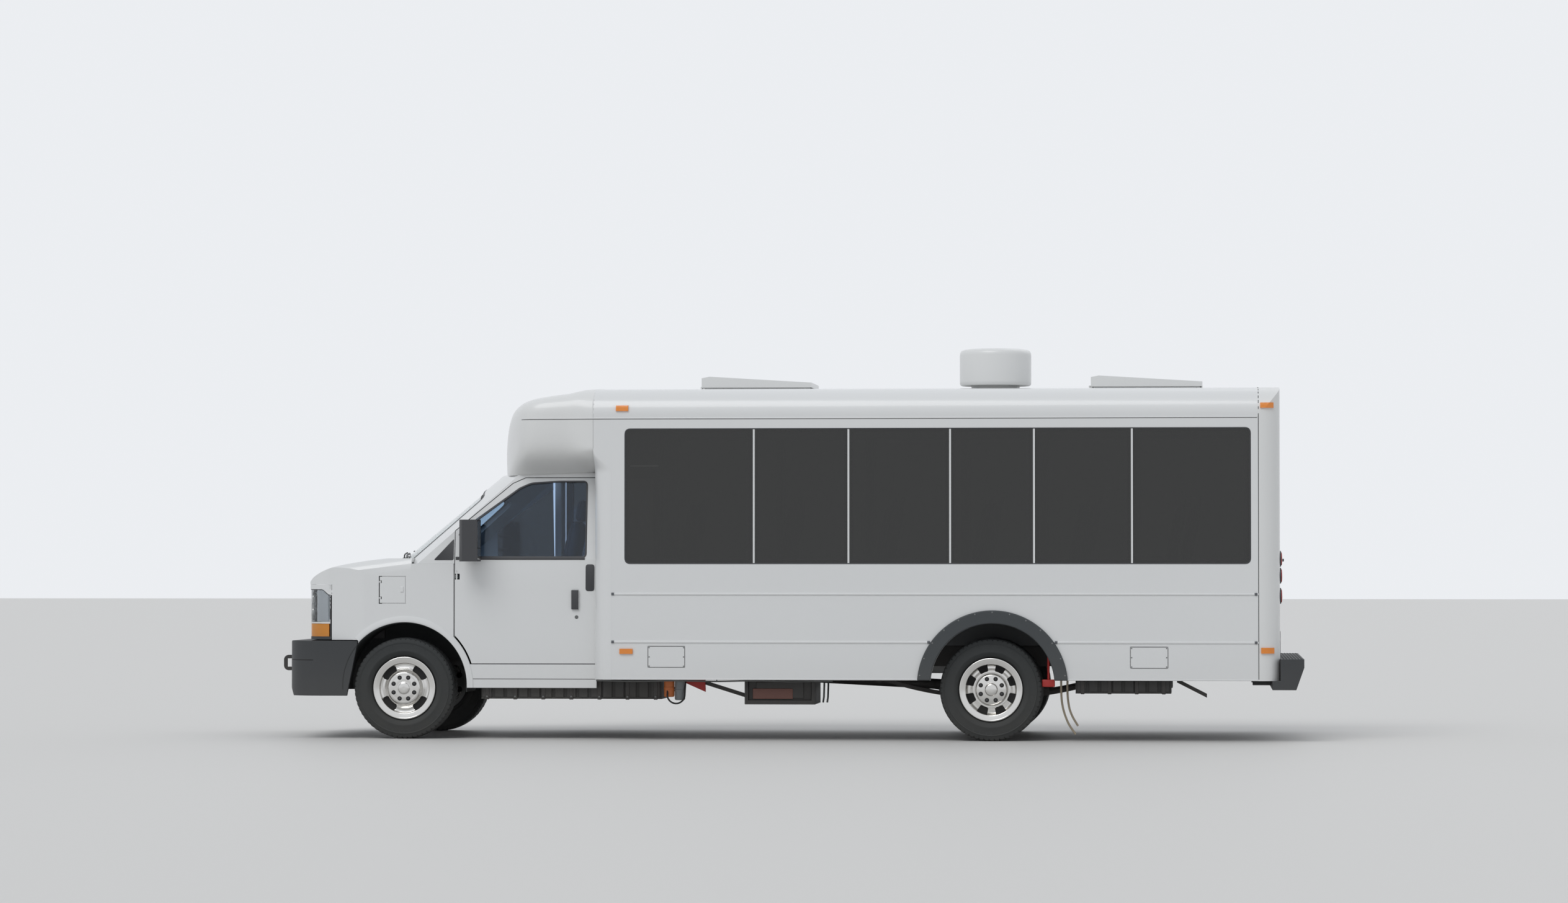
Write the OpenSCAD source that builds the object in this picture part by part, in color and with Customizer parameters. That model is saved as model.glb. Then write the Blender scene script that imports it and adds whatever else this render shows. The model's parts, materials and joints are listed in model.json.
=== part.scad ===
// Airport passenger bus: a van cab and chassis that carries a boxed passenger body.
// +X is forward, +Y is the driver's side and +Z is up.
// The origin lies on the ground, halfway between the tow hooks' tips and the rear bumper.

/* [Chassis] */
// Distance between the axles
wheelbase = 4496; // [4300:10:4800]
// Reach of the tow hooks ahead of the front axle
front_reach = 1030; // [1000:5:1080]
// Reach of the rear bumper behind the rear axle
rear_reach = 2350; // [2300:10:2500]
// Distance from the middle to a frame rail's outer face
rail_y = 470; // [450:5:480]
// Height of a frame rail
rail_h = 160; // [140:5:170]
// Width of a frame rail
rail_w = 70; // [60:5:80]
// Wall of a frame rail
rail_t = 6; // [4:1:10]

/* [Wheels] */
// Outer radius of a tyre
tyre_r = 387; // [375:1:392]
// Width of a tyre
tyre_w = 245; // [225:5:250]
// Radius of the bead seat of a wheel
bead_r = 205; // [200:1:210]
// Outer radius of the bright trim ring
ring_r = 240; // [234:1:246]
// Distance from the middle to a front tyre's middle plane
track_front = 860; // [850:2:866]
// Distance from the middle to an outer rear tyre's middle plane
track_rear = 1006; // [1000:2:1010]
// Distance between the two tyres of a twin wheel
twin_pitch = 276; // [270:2:284]
// Number of hand holes in a wheel
hand_holes = 8; // [6:1:8]

/* [Body] */
// Width of the passenger body
body_w = 2438; // [2420:2:2460]
// Distance from the front axle back to the body's front wall
body_lag = 1487; // [1487:5:1540]
// Distance from the rear axle back to the body's rear wall
body_tail = 2172; // [2100:10:2200]
// Height of the skirt's lower edge
skirt_z = 460; // [440:5:480]
// Height of the joint between side wall and roof
seam_z = 2440; // [2430:5:2460]
// Height of the roof at its edge
roof_z = 2664; // [2664:2:2690]
// Rise of the roof from its edge to its middle
crown = 30; // [20:2:40]
// Radius of the roof's side coves
cove_r = 200; // [190:5:200]
// Thickness of a side wall
wall_t = 45; // [40:1:50]
// Height of the cabin floor's top
floor_z = 760; // [750:5:770]
// Thickness of the cabin floor
floor_t = 48; // [40:1:48]
// Height of the window band's lower edge
win_z0 = 1340; // [1320:5:1380]
// Height of the window band's upper edge
win_z1 = 2360; // [2300:5:2380]
// Gap between two window panes
pane_gap = 14; // [10:1:24]
// Thickness of the side glass
glass_t = 6; // [4:1:8]
// Width of the frame behind a pane's edge
pane_edge = 26; // [20:1:40]

/* [Cab] */
// Width of the cab at its sill
cab_w = 2012; // [2000:2:2020]
// Thickness of the cab's walls and doors
cab_t = 42; // [36:1:46]
// Height of the cab's sill bottom
sill_z = 392; // [380:2:400]
// Height of the cab door's bottom edge
door_z = 571; // [560:2:600]
// Height of the belt line below the door's window
belt_z = 1372; // [1360:2:1384]
// Height of the cab roof's rear edge, under the cap
cab_roof_z = 2036; // [2036:2:2050]
// Radius of the front wheel's arch
arch_r = 482; // [470:1:490]
// Width of the lip around the front wheel's arch
arch_lip = 45; // [30:1:50]
// Radius of the rear wheel's arch
flare_in_r = 468; // [455:1:480]
// Width of the rear wheel's flare
flare_w = 100; // [80:1:110]
// Stand of the rear wheel's flare off the side wall
flare_t = 22; // [15:1:30]

/* [Doors and lids] */
// Gap around a door or lid
door_gap = 8; // [6:1:10]
// Width of the passenger entry
entry_w = 780; // [740:10:790]
// Distance from the front axle back to the entry's front edge
entry_lag = 960; // [960:5:1000]
// Width of the rear emergency door
rear_door_w = 820; // [760:10:860]
// Length of a roof hatch lid
hatch_l = 855; // [800:5:880]
// Width of a roof hatch lid
hatch_w = 700; // [640:5:720]
// Width of the charging flap on the front fender
flap_w = 210; // [190:5:216]
// Height of the charging flap on the front fender
flap_h = 213; // [190:5:216]

/* [Hidden] */
$fn = 96;

// Main stations along the bus
overall_l = front_reach + wheelbase + rear_reach;
axle_f = overall_l / 2 - front_reach;
axle_r = axle_f - wheelbase;
body_x1 = axle_f - body_lag;
body_x0 = axle_r - body_tail;
hw = body_w / 2;
cab_hw = cab_w / 2;
seat_gap = 0.3;
white = [0.93, 0.94, 0.95];
black = [0.08, 0.08, 0.09];
steel = [0.45, 0.46, 0.48];

// Body sections and corners
eave_z = roof_z - cove_r;
crown_r = (pow(hw - cove_r, 2) + pow(crown, 2)) / (2 * crown);
corner_r = 140;
tail_r = 150;
tail_x = body_x0 + 161;
roof_t = 50;
cap_side_z = 2204;
right_x1 = axle_f - entry_lag + 60;
cap_open_x = axle_f - 1000;
entry_x1 = axle_f - entry_lag;
entry_x0 = entry_x1 - entry_w;
entry_z0 = 345;
entry_z1 = 2130;
rail_top = floor_z - floor_t;
rails_z = [1110, 747];
entry_corner_r = 50;
entry_in_y = 720;
entry_side_y = 840;
pin_r = 5;
pin_play = 0.3;

// Places of a block between two corners
module block(x0, x1, y0, y1, z0, z1) {
    translate([x0, y0, z0]) cube([x1 - x0, y1 - y0, z1 - z0]);
}
module pair() {
    children();
    mirror([0, 1, 0]) children();
}
// A y-z outline carried along X
module along_x(x0, x1) {
    translate([x0, 0, 0]) rotate([90, 0, 90]) linear_extrude(x1 - x0) children();
}
// An x-z outline carried across the bus
module across(y0, y1) {
    translate([0, y1, 0]) rotate([90, 0, 0]) linear_extrude(y1 - y0) children();
}
// An x-y outline carried upright
module upright(z0, z1) {
    translate([0, 0, z0]) linear_extrude(z1 - z0) children();
}
module rod_x(x0, x1, y, z, r) {
    translate([x0, y, z]) rotate([0, 90, 0]) cylinder(r = r, h = x1 - x0);
}
module rod_y(x, y0, y1, z, r) {
    translate([x, y0, z]) rotate([-90, 0, 0]) cylinder(r = r, h = y1 - y0);
}
module rod_z(x, y, z0, z1, r) {
    translate([x, y, z0]) cylinder(r = r, h = z1 - z0);
}
// A straight round bar between two points
module bar(a, b, r) {
    d = b - a;
    l = norm(d);
    translate(a) rotate([0, acos(d[2] / l), atan2(d[1], d[0])]) cylinder(r = r, h = l);
}
module round_rect(x0, x1, y0, y1, r) {
    translate([x0 + r, y0]) square([x1 - x0 - 2 * r, y1 - y0]);
    translate([x0, y0 + r]) square([x1 - x0, y1 - y0 - 2 * r]);
    for (x = [x0 + r, x1 - r]) for (y = [y0 + r, y1 - r]) translate([x, y]) circle(r);
}

// The body's cross-section, drawn in by t
module body_section(t) {
    w = hw - t;
    intersection() {
        union() {
            translate([-w, -200]) square([2 * w, eave_z + 200]);
            translate([-(hw - cove_r), -200]) square([2 * (hw - cove_r), roof_z + crown + 200]);
            for (s = [-1, 1]) translate([s * (hw - cove_r), eave_z]) circle(cove_r - t);
        }
        translate([0, roof_z + crown - crown_r]) circle(crown_r - t, $fn = 360);
    }
}
// The body's outer plan, with its rounded rear corners
module body_plan(t) {
    translate([body_x0 + tail_r, -(hw - t)]) square([overall_l - tail_r, 2 * (hw - t)]);
    translate([body_x0 + t, -(hw - tail_r)]) square([300, 2 * (hw - tail_r)]);
    for (s = [-1, 1]) translate([body_x0 + tail_r, s * (hw - tail_r)]) circle(tail_r - t);
}
// The body's outer form from x0 to x1, drawn in by t
module body_form(x0, x1, t) {
    intersection() {
        along_x(x0, x1) body_section(t);
        upright(0, 3000) body_plan(t);
    }
}
module above(z) {
    translate([-2000, z]) square([4000, 3000]);
}

// Chassis
rail_x1 = axle_f + 850;
rail_x0 = body_x0 + wall_t + seat_gap;
rails_bottom = rail_top - rail_h;
cross_members = [axle_f + 700, axle_f - 760, axle_f - 1700, axle_f - 2500, axle_r + 1050, axle_r - 700,
    axle_r - 1500, rail_x0 + 60];
hook_y = rail_y - rail_w / 2;
hook_z = 570;
module chassis_frame() color(black) {
    pair() {
        difference() {
            block(rail_x0, rail_x1, rail_y - rail_w, rail_y, rails_bottom, rail_top);
            block(rail_x0 - 1, rail_x1 + 1, rail_y - rail_w - 1, rail_y - rail_t,
                rails_bottom + rail_t, rail_top - rail_t);
        }
        // Tow hook: a flat ring ahead of the rail's end
        difference() {
            across(hook_y - 12, hook_y + 12) difference() {
                round_rect(rail_x1 - 90, axle_f + front_reach, hook_z - 60, hook_z + 60, 38);
                translate([axle_f + front_reach - 62, hook_z - 32]) square([36, 64]);
            }
        }
        block(rail_x1 - 90, rail_x1 - 10, hook_y + 11, rail_y - rail_t + 1, hook_z - 45, hook_z + 45);
    }
    for (x = cross_members)
        block(x - 40, x + 40, -(rail_y - rail_t - seat_gap), rail_y - rail_t - seat_gap,
            rails_bottom + rail_t + 20, rail_top - rail_t - 20);
}

// Front axle
king_y = 760;
arm_low_z = 310;
arm_top_z = 520;
arm_h = 26;
joint_r = 28;
stud_r = 12;
arm_gap = 7;
steer_x = 140;
rack_z = 372;
module arm(z) {
    upright(z - arm_h / 2, z + arm_h / 2) {
        polygon([[axle_f - 150, 380], [axle_f + 110, 380], [axle_f + joint_r, king_y],
            [axle_f - joint_r, king_y]]);
        translate([axle_f, king_y]) circle(joint_r);
    }
}
module front_suspension() color(steel) {
    block(axle_f - 120, axle_f + 90, -392, 392, 430, rails_bottom - seat_gap);
    pair() {
        block(axle_f - 150, axle_f + 100, 360, 400, 290, rails_bottom - seat_gap);
        arm(arm_low_z);
        arm(arm_top_z);
        // Ball studs that carry the knuckle
        rod_z(axle_f, king_y, arm_low_z, arm_low_z + 60, stud_r);
        rod_z(axle_f, king_y, arm_top_z - 50, arm_top_z, stud_r);
        // Spring leg between the arms
        rod_z(axle_f, 560, arm_low_z - 10, arm_top_z + 10, 46);
        // Track rod, opened at its outer joint
        rod_y(axle_f + steer_x, 350, king_y - 20, rack_z, 11);
        rod_z(axle_f + steer_x, king_y - 20, rack_z - 11, rack_z + 18, 15);
    }
    // Steering rack ahead of the axle
    rod_y(axle_f + steer_x, -360, 360, rack_z, 32);
    for (y = [-250, 190]) block(axle_f + 80, axle_f + steer_x, y, y + 60, rack_z - 20, 470);
}
spindle_r = 32;
knuckle_z0 = arm_low_z + arm_h / 2 + arm_gap;
knuckle_z1 = arm_top_z - arm_h / 2 - arm_gap;
module knuckle() color(steel) {
    difference() {
        union() {
            block(axle_f - 34, axle_f + 34, king_y - 30, king_y + 26, knuckle_z0, knuckle_z1);
            rod_y(axle_f, king_y - 30, king_y + 40, tyre_r, 62);
        }
        rod_z(axle_f, king_y, arm_low_z, arm_low_z + 62, stud_r + pin_play);
        rod_z(axle_f, king_y, arm_top_z - 52, arm_top_z, stud_r + pin_play);
    }
    rod_y(axle_f, king_y + 20, track_front + 48, tyre_r, spindle_r);
    // Steering arm and brake caliper
    block(axle_f + 30, axle_f + steer_x + 16, king_y - 30, king_y - 6, rack_z + 24, rack_z + 48);
    block(axle_f - 60, axle_f + 60, king_y + 34, king_y + 76, tyre_r + 108, tyre_r + 150);
    block(axle_f - 30, axle_f + 30, king_y + 34, king_y + 48, tyre_r + 40, tyre_r + 120);
    rod_y(axle_f, king_y + 20, king_y + 48, tyre_r, 58);
}
module knuckle_left() knuckle();
module knuckle_right() mirror([0, 1, 0]) knuckle();

// Rear axle with its leaf springs
spring_y = 535;
spring_w = 70;
leaf_z = tyre_r - 85;
leaf_r = 2690;
spring_half = 880;
rear_stub_y = track_rear - twin_pitch / 2 - 20;
module rear_axle() color(steel) {
    rod_y(axle_r, -590, 590, tyre_r, 56);
    pair() rod_y(axle_r, 580, track_rear - 30, tyre_r, spindle_r);
    rod_x(axle_r - 150, axle_r + 150, 0, tyre_r, 118);
    rod_y(axle_r, -90, 90, tyre_r, 150);
    rod_x(axle_r + 140, axle_r + 240, 0, tyre_r, 50);
    pair() {
        difference() {
            across(spring_y - spring_w / 2, spring_y + spring_w / 2) intersection() {
                difference() {
                    translate([axle_r, leaf_z + leaf_r]) circle(leaf_r, $fn = 360);
                    translate([axle_r, leaf_z + leaf_r]) circle(leaf_r - 30, $fn = 360);
                }
                translate([axle_r - spring_half, leaf_z - 1]) square([2 * spring_half, 400]);
            }
        }
        // Shorter leaves and the clamp at the axle
        across(spring_y - spring_w / 2, spring_y + spring_w / 2) intersection() {
            difference() {
                translate([axle_r, leaf_z + leaf_r]) circle(leaf_r - 29, $fn = 360);
                translate([axle_r, leaf_z + leaf_r]) circle(leaf_r - 52, $fn = 360);
            }
            translate([axle_r - 420, leaf_z - 1]) square([840, 400]);
        }
        block(axle_r - 60, axle_r + 60, spring_y - 42, spring_y + 42, leaf_z - 14, tyre_r - 40);
        // Spring hangers up to the frame rail
        for (s = [-1, 1]) {
            rod_y(axle_r + s * spring_half, spring_y - 45, spring_y + 45, leaf_z + 160, 34);
            block(axle_r + s * spring_half - 22, axle_r + s * spring_half + 22, rail_y + seat_gap,
                spring_y + 30, leaf_z + 170, rail_top - 30);
        }
    }
}
module drive_motor() color(steel) {
    block(axle_f - 1560, axle_f - 940, -180, 180, 440, 690);
    rod_x(axle_f - 1600, axle_f - 1559, 0, 530, 70);
    bar([axle_f - 1590, 0, 530], [axle_r + 245, 0, tyre_r + 5], 40);
    block(axle_f - 1300, axle_f - 1200, -(rail_y - rail_t - seat_gap), rail_y - rail_t - seat_gap,
        rails_bottom + rail_t + seat_gap, 600);
}

// Boxes under the floor
batt_x = [axle_f - 594, axle_f - 1981];
batt_r_x = [axle_r - 637, axle_r - 1356];
hanger_x = axle_r - spring_half;
module ribbed_box(x1, x0, y0, y1, z0, z1) {
    block(x0, x1, y0, y1 - 14, z0, z1);
    n = round((x1 - x0) / 92);
    p = (x1 - x0) / n;
    for (i = [0 : n - 1])
        block(x0 + i * p + 14, x0 + (i + 1) * p - 14, y1 - 15, y1, z0 + 14, z1 - 10);
    block(x0, x1, y1 - 15, y1 - 4, z0, z0 + 10);
}
module battery_packs() color(black) {
    ribbed_box(batt_x[0], batt_x[1], rail_y + 100, cab_hw - 56, 307, 530);
    block(batt_x[1] + 60, batt_x[0] - 60, rail_y + seat_gap, rail_y + 101, 480, rails_bottom + 60);
    pair() {
        ribbed_box(batt_r_x[0], batt_r_x[1], rail_y + 130, hw - 130, 360, 620);
        block(batt_r_x[1] + 60, hanger_x - 40, rail_y + seat_gap, rail_y + 131, 570, 620);
        block(hanger_x + 40, batt_r_x[0] - 60, rail_y + seat_gap, rail_y + 131, 570, 620);
    }
}
box_x = [axle_f - 2621, axle_f - 3158];
module converter_box() color(black) {
    block(box_x[1] + 30, box_x[0] - 30, rail_y + 60, cab_hw - 20, 300, 560);
    block(box_x[1], box_x[0], rail_y + seat_gap, cab_hw, 270, 302);
    for (x = [box_x[1], box_x[0] - 28])
        block(x, x + 28, rail_y + seat_gap, cab_hw, 270, rail_top - seat_gap);
    for (x = [box_x[1] + 90, box_x[0] - 330])
        block(x, x + 240, cab_hw - 21, cab_hw - 8, 318, 440);
}
can_r = 40;
module coolant_canisters() color([0.85, 0.4, 0.1]) {
    for (c = [[axle_f - 2039, 324], [axle_f - 2121, 300]]) {
        rod_z(c[0], cab_hw - 60, c[1], 600, can_r);
        block(c[0] - 20, c[0] + 20, rail_y + seat_gap, cab_hw - 70, 540, 580);
    }
    // Cable loop that hangs below the canisters
    translate([axle_f - 2096, cab_hw - 10, 342]) rotate([90, 0, 0])
        rotate([0, 0, 180]) rotate_extrude(angle = 180) translate([67, 0]) circle(6, $fn = 24);
    for (x = [axle_f - 2096 - 67, axle_f - 2096 + 67])
        translate([x, cab_hw - 10, 341]) rotate([30, 0, 0]) cylinder(r = 6, h = 150, $fn = 24);
}
module strut(a, b, y, h) {
    across(y - 14, y + 14) polygon([a, [a[0], a[1] + h], [b[0], b[1] + h], b]);
}
module underfloor_brackets() color(black) {
    pair() {
        // Outriggers from the rails to the skirts
        for (x = [axle_f - 2280, axle_f - 3360, axle_r + 640, axle_r - 690, axle_r - 1420, axle_r - 1900])
            block(x - 25, x + 25, rail_y + seat_gap, hw - wall_t - 8, rail_top - 60, rail_top - seat_gap);
    }
    // Red lifting bracket and its struts on the driver's side
    across(886, 914) polygon([[axle_f - 2165, 430], [axle_f - 2165, rail_top - 59],
        [axle_f - 2305, rail_top - 59], [axle_f - 2312, 364]]);
    strut([axle_f - 2609, 322], [axle_f - 2249, 435], 870, 30);
    block(axle_f - 2305, axle_f - 2249, 850, 887, 440, rail_top - 59);
    strut([axle_r - 1624, 326], [axle_r - 1400, 440], 900, 30);
    block(axle_r - 1440, axle_r - 1398, 886, 914, 440, rail_top - 59);
}

// Cab shape: side outline, plan outline and cross-sections, drawn in by t
slope = atan2(638, 771);
screen_x = axle_f + 145;
screen_z = 1368;
screen_r = 2800;
nose_x = axle_f + 800;
nose_top = [[130, 1380], [289, 1362], [489, 1328], [600, 1296], [690, 1252], [745, 1205],
    [785, 1120], [800, 1000], [800, 756]];
module nose_side(t) {
    offset(delta = -t) polygon(concat([[axle_f - 420, 700 - t], [axle_f - 420, 1380]],
        [for (p = smoothed(nose_top, 2)) [axle_f + p[0], p[1]]], [[axle_f + 800, 700 - t]]));
}
module cab_side(t) {
    offset(delta = -t) polygon([[body_x1 - 2 * t, sill_z - 2 * t], [body_x1 - 2 * t, cab_roof_z],
        [axle_f - 900, cab_roof_z - 10], [axle_f - 640, 2018], [screen_x, screen_z],
        [screen_x, sill_z - 2 * t]]);
}
function arc(x, y, r, a0, a1, n) = [for (i = [0 : n]) let (a = a0 + (a1 - a0) * i / n)
    [x + r * cos(a), y + r * sin(a)]];
function turned(p) = [for (i = [len(p) - 1 : -1 : 0]) p[i]];
// A smooth curve through the points p with n steps between two of them: at each point it runs
// parallel to the line between the point's neighbours
function slope_at(p, i) = (p[min(i + 1, len(p) - 1)] - p[max(i - 1, 0)]) / 2;
function smoothed(p, n) = concat([for (i = [0 : len(p) - 2]) for (k = [0 : n - 1]) let (t = k / n)
    (2 * pow(t, 3) - 3 * t * t + 1) * p[i] + (pow(t, 3) - 2 * t * t + t) * slope_at(p, i)
    + (3 * t * t - 2 * pow(t, 3)) * p[i + 1] + (pow(t, 3) - t * t) * slope_at(p, i + 1)],
    [p[len(p) - 1]]);
nose_corner_r = 265;
module nose_plan(t) {
    half = concat([[axle_f - 1500, cab_hw - t], [axle_f + 290, cab_hw - t]],
        arc(axle_f + 530, 700, nose_corner_r - t, 90, 0, 9));
    intersection() {
        polygon(concat(half, [for (p = turned(half)) [p[0], -p[1]]]));
        translate([nose_x - 7000, 0]) circle(7000 - t, $fn = 360);
    }
}
// The nose's cross-section; it leans forward so that its shoulders fall towards the lamps
shoulder_r = 130;
shoulder_z = 1404;
shoulder_tilt = 7.5;
module nose_front(t) {
    half = concat([[cab_hw - t, -400]],
        arc(cab_hw - shoulder_r, shoulder_z - shoulder_r, shoulder_r - t, 0, 90, 8));
    polygon(concat(half, [for (p = turned(half)) [-p[0], p[1]]]));
}
module cab_front(t) {
    polygon([[-(cab_hw - t), 0], [cab_hw - t, 0], [cab_hw - t, 1150], [996 - t, belt_z],
        [885 - t, cab_roof_z + 100], [-(885 - t), cab_roof_z + 100], [-(996 - t), belt_z],
        [-(cab_hw - t), 1150]]);
}
// Places something on the windshield's plane: x across, y up the slope, z outwards
module on_screen() {
    translate([screen_x, 0, screen_z]) rotate([0, slope, 0]) rotate([0, 0, 90]) children();
}
module nose_solid(t) {
    intersection() {
        across(-1100, 1100) nose_side(t);
        upright(600, 1500) nose_plan(t);
        translate([axle_f, 0, 0]) rotate([0, shoulder_tilt, 0]) translate([-axle_f, 0, 0])
            along_x(axle_f - 600, axle_f + 1100) nose_front(t);
    }
}
module cab_solid(t) {
    intersection() {
        across(-1100, 1100) cab_side(t);
        along_x(body_x1 - t, axle_f + 300) cab_front(t);
        on_screen() translate([0, -2500, -screen_r]) rotate([-90, 0, 0])
            cylinder(r = screen_r - t, h = 5000, $fn = 360);
    }
}
arch_x = axle_f - 10;
arch_z = 410;
// Cab door outline, drawn in by g: x behind the front axle, z, and how far the door itself stays
// ahead of its opening, so that its top clears the body when it swings
door_rear = 4 - body_lag;
door_outline = [[-391, 571, 0], [-391, 1592, 0], [-507, 1688, 0], [-830, 1956, 0], [-930, 2000, 0],
    [door_rear, 2000, 9], [door_rear, 1750, 5], [door_rear, 1372, 1], [door_rear, 571, 0]];
door_reach = 146;
module door_area(g) {
    difference() {
        offset(delta = -g) polygon([for (p = door_outline)
            [axle_f + p[0] + (g > 0 ? p[2] : 0), max(p[1], door_z)]]);
        translate([arch_x, arch_z]) circle(arch_r + arch_lip + 2.7 * g);
    }
}
win_rear = 83 - body_lag;
win_outline = [[-445, 1388], [-445, 1592], [-557, 1685], [-883, 1922], [-967, 1956], [win_rear + 230, 1968],
    [win_rear, 1968], [win_rear, 1388]];
module window_area(g) {
    offset(r = 20, $fn = 24) offset(delta = -20 - g) polygon([for (p = win_outline) [axle_f + p[0],
        max(p[1], belt_z + 16)]]);
}
screen_outline = [[-800, 40], [800, 40], [700, 860], [-700, 860]];
module screen_area(g) {
    offset(r = 60, $fn = 24) offset(delta = -60 - g) polygon(screen_outline);
}
fender_y = 800;
lip_out = 5;
hood_back = 150;
fender_top = 1340;
fender_t = 30;
cab_floor_t = 30;
cab_floor_z = rail_top + seat_gap + cab_floor_t;
door_pin = [axle_f - 410, cab_hw - 8];
door_hinge_z = [824, 1240];
hood_pin = [axle_f + 162, 1366];
hood_hinge_y = 620;
pillar_y = cab_hw - fender_t - seat_gap;
dash_x = axle_f - 60;
module cab_body() color(white) {
    difference() {
        union() {
            difference() {
                cab_solid(0);
                cab_solid(cab_t);
            }
            // Firewall and cowl
            intersection() {
                cab_solid(0);
                block(dash_x - 20, dash_x, -cab_hw, cab_hw, 700, 1380);
            }
            // Cab floor
            block(body_x1, axle_f - 540, -(cab_hw - cab_t) - 1, cab_hw - cab_t + 1,
                cab_floor_z - cab_floor_t, cab_floor_z);
            across(-(cab_hw - cab_t) - 1, cab_hw - cab_t + 1) polygon([[axle_f - 560, cab_floor_z],
                [axle_f - 480, cab_floor_z + 25], [dash_x - 19, 980], [dash_x - 19, 940],
                [axle_f - 470, cab_floor_z - 12], [axle_f - 560, cab_floor_z - cab_floor_t]]);
            // Hinge pillars behind the fenders
            pair() block(axle_f - 385, axle_f - 300, pillar_y - 52, pillar_y, cab_floor_z - 40, 1400);
            // Cowl between the hood and the windshield
            intersection() {
                nose_shell(hood_t);
                block(dash_x - 20, screen_x, -fender_y + seat_gap, fender_y - seat_gap, fender_top, 1500);
            }
        }
        // Everything ahead of the firewall below the cowl belongs to the nose
        block(dash_x, axle_f + 900, -1100, 1100, 0, fender_top);
        intersection() {
            nose_solid(-seat_gap);
            pair() block(dash_x, axle_f + 900, fender_y - seat_gap, 1100, 600, 1500);
        }
        block(axle_f - 500, axle_f + 900, -1100, 1100, 0, 700);
        pair() block(axle_f - 391, axle_f + 900, pillar_y, 1100, 0, fender_top);
        pair() rod_y(arch_x, cab_hw - 60, 1100, arch_z, arch_r + arch_lip + seat_gap);
        // Front wheel space
        rod_y(arch_x, -1100, 1100, arch_z, arch_r + 10);
        // Door on the driver's side
        across(cab_hw - door_reach - 8, 1100) door_area(0);
        // Entry and vision window on the other side
        across(-1100, -(cab_hw - 240)) window_area(0);
        block(body_x1 - 1, right_x1 + 2, -1100, -entry_side_y, 0, cap_side_z);
        block(entry_x0, entry_x1 + 30, -1100, -690, 0, floor_z + 1);
        // Windshield
        on_screen() translate([0, 0, -500]) linear_extrude(900) screen_area(0);
        // Open to the cabin at the back, under the cap and at the entry
        block(body_x1 - 200, body_x1 + cab_t + 1, -(cab_hw - 120), cab_hw - 120, cab_floor_z, 2300);
        block(body_x1 - 1, cap_open_x, -(cab_hw - 150), cab_hw - 150, 1900, 2300);
        block(body_x1 - 1, right_x1 + 2, -1100, -entry_in_y, 1900, 2300);
    }
    door_hinges();
    hood_hinges();
}
// Arms that carry the driver's door and the hood on their pins
module door_hinges() {
    for (z = door_hinge_z) {
        rod_z(door_pin[0], door_pin[1], z - 42, z + 42, pin_r);
        block(door_pin[0] - pin_r, door_pin[0] + pin_r, pillar_y - 32, door_pin[1], z - 14, z + 14);
        block(door_pin[0] - pin_r, axle_f - 380, pillar_y - 34, pillar_y - 18, z - 14, z + 14);
    }
}
module hood_hinges() {
    pair() {
        rod_y(hood_pin[0], hood_hinge_y - 30, hood_hinge_y + 30, hood_pin[1], pin_r);
        block(screen_x - 8, hood_pin[0] + 5, hood_hinge_y - 8, hood_hinge_y + 8, hood_pin[1] - 7,
            hood_pin[1] + 3);
    }
}
module windshield() color([0.6, 0.75, 0.8, 0.4]) {
    intersection() {
        difference() {
            cab_solid(8);
            cab_solid(14);
        }
        on_screen() translate([0, 0, -500]) linear_extrude(900) screen_area(seat_gap);
    }
}
hood_taper = 0.224;
module hood_area(g) {
    y1 = fender_y - hood_taper * 50 - g;
    y2 = fender_y - hood_taper * 670 - g;
    polygon([[axle_f + hood_back + g, -(fender_y - 1.7 * g)], [axle_f + hood_back + g, fender_y - 1.7 * g],
        [axle_f + hood_back + 50, y1], [axle_f + hood_back + 670, y2], [axle_f + hood_back + 670, -y2],
        [axle_f + hood_back + 50, -y1]]);
}
hood_front_z = 1180;
hood_t = 28;
hood_gap = 7;
lamp_y0 = 560;
module nose_shell(t) {
    difference() {
        nose_solid(0);
        nose_solid(t);
    }
}
module front_fenders() color(white) {
    difference() {
        union() {
            // Skin of the nose beside the hood
            intersection() {
                nose_shell(fender_t);
                block(axle_f - 60, axle_f + 900, -1100, 1100, 560, 1500);
            }
            // Skin up to the door's front edge
            pair() block(axle_f - 387, axle_f - 59, cab_hw - fender_t, cab_hw, 700, fender_top - seat_gap);
            // Lip around the arch, down to the sill and the bumper
            pair() across(cab_hw - fender_t, cab_hw + lip_out) difference() {
                translate([arch_x, arch_z]) circle(arch_r + arch_lip);
                translate([arch_x - 600, -300]) square([1200, 300 + sill_z]);
                translate([arch_x + 350, -300]) square([400, 300 + 756]);
            }
        }
        // Between the fenders: the hood, the grille and the lamps
        block(axle_f - 62, axle_f + hood_back, -fender_y, fender_y, 0, 1600);
        block(axle_f - 62, axle_f + 560, -(cab_hw - 60), cab_hw - 60, 0, 1200);
        upright(1000, 1500) hood_area(0);
        block(axle_f + 560, axle_f + 900, -1100, 1100, 0, hood_front_z);
        block(axle_f + 350, axle_f + 900, -1100, 1100, 0, 756);
        rod_y(arch_x, -1100, 1100, arch_z, arch_r);
        block(flap_x0, flap_x0 + flap_w, cab_hw - 60, 1100, flap_z0, flap_z0 + flap_h);
    }
    // Pins of the charging flap
    for (z = flap_hinge_z) {
        rod_z(flap_pin[0], flap_pin[1], z - 20, z + 20, 3);
        block(flap_pin[0] - 3, flap_x0 + flap_w + 1, flap_pin[1] - 6, flap_pin[1] + 1, z - 6, z + 6);
    }
}
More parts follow.
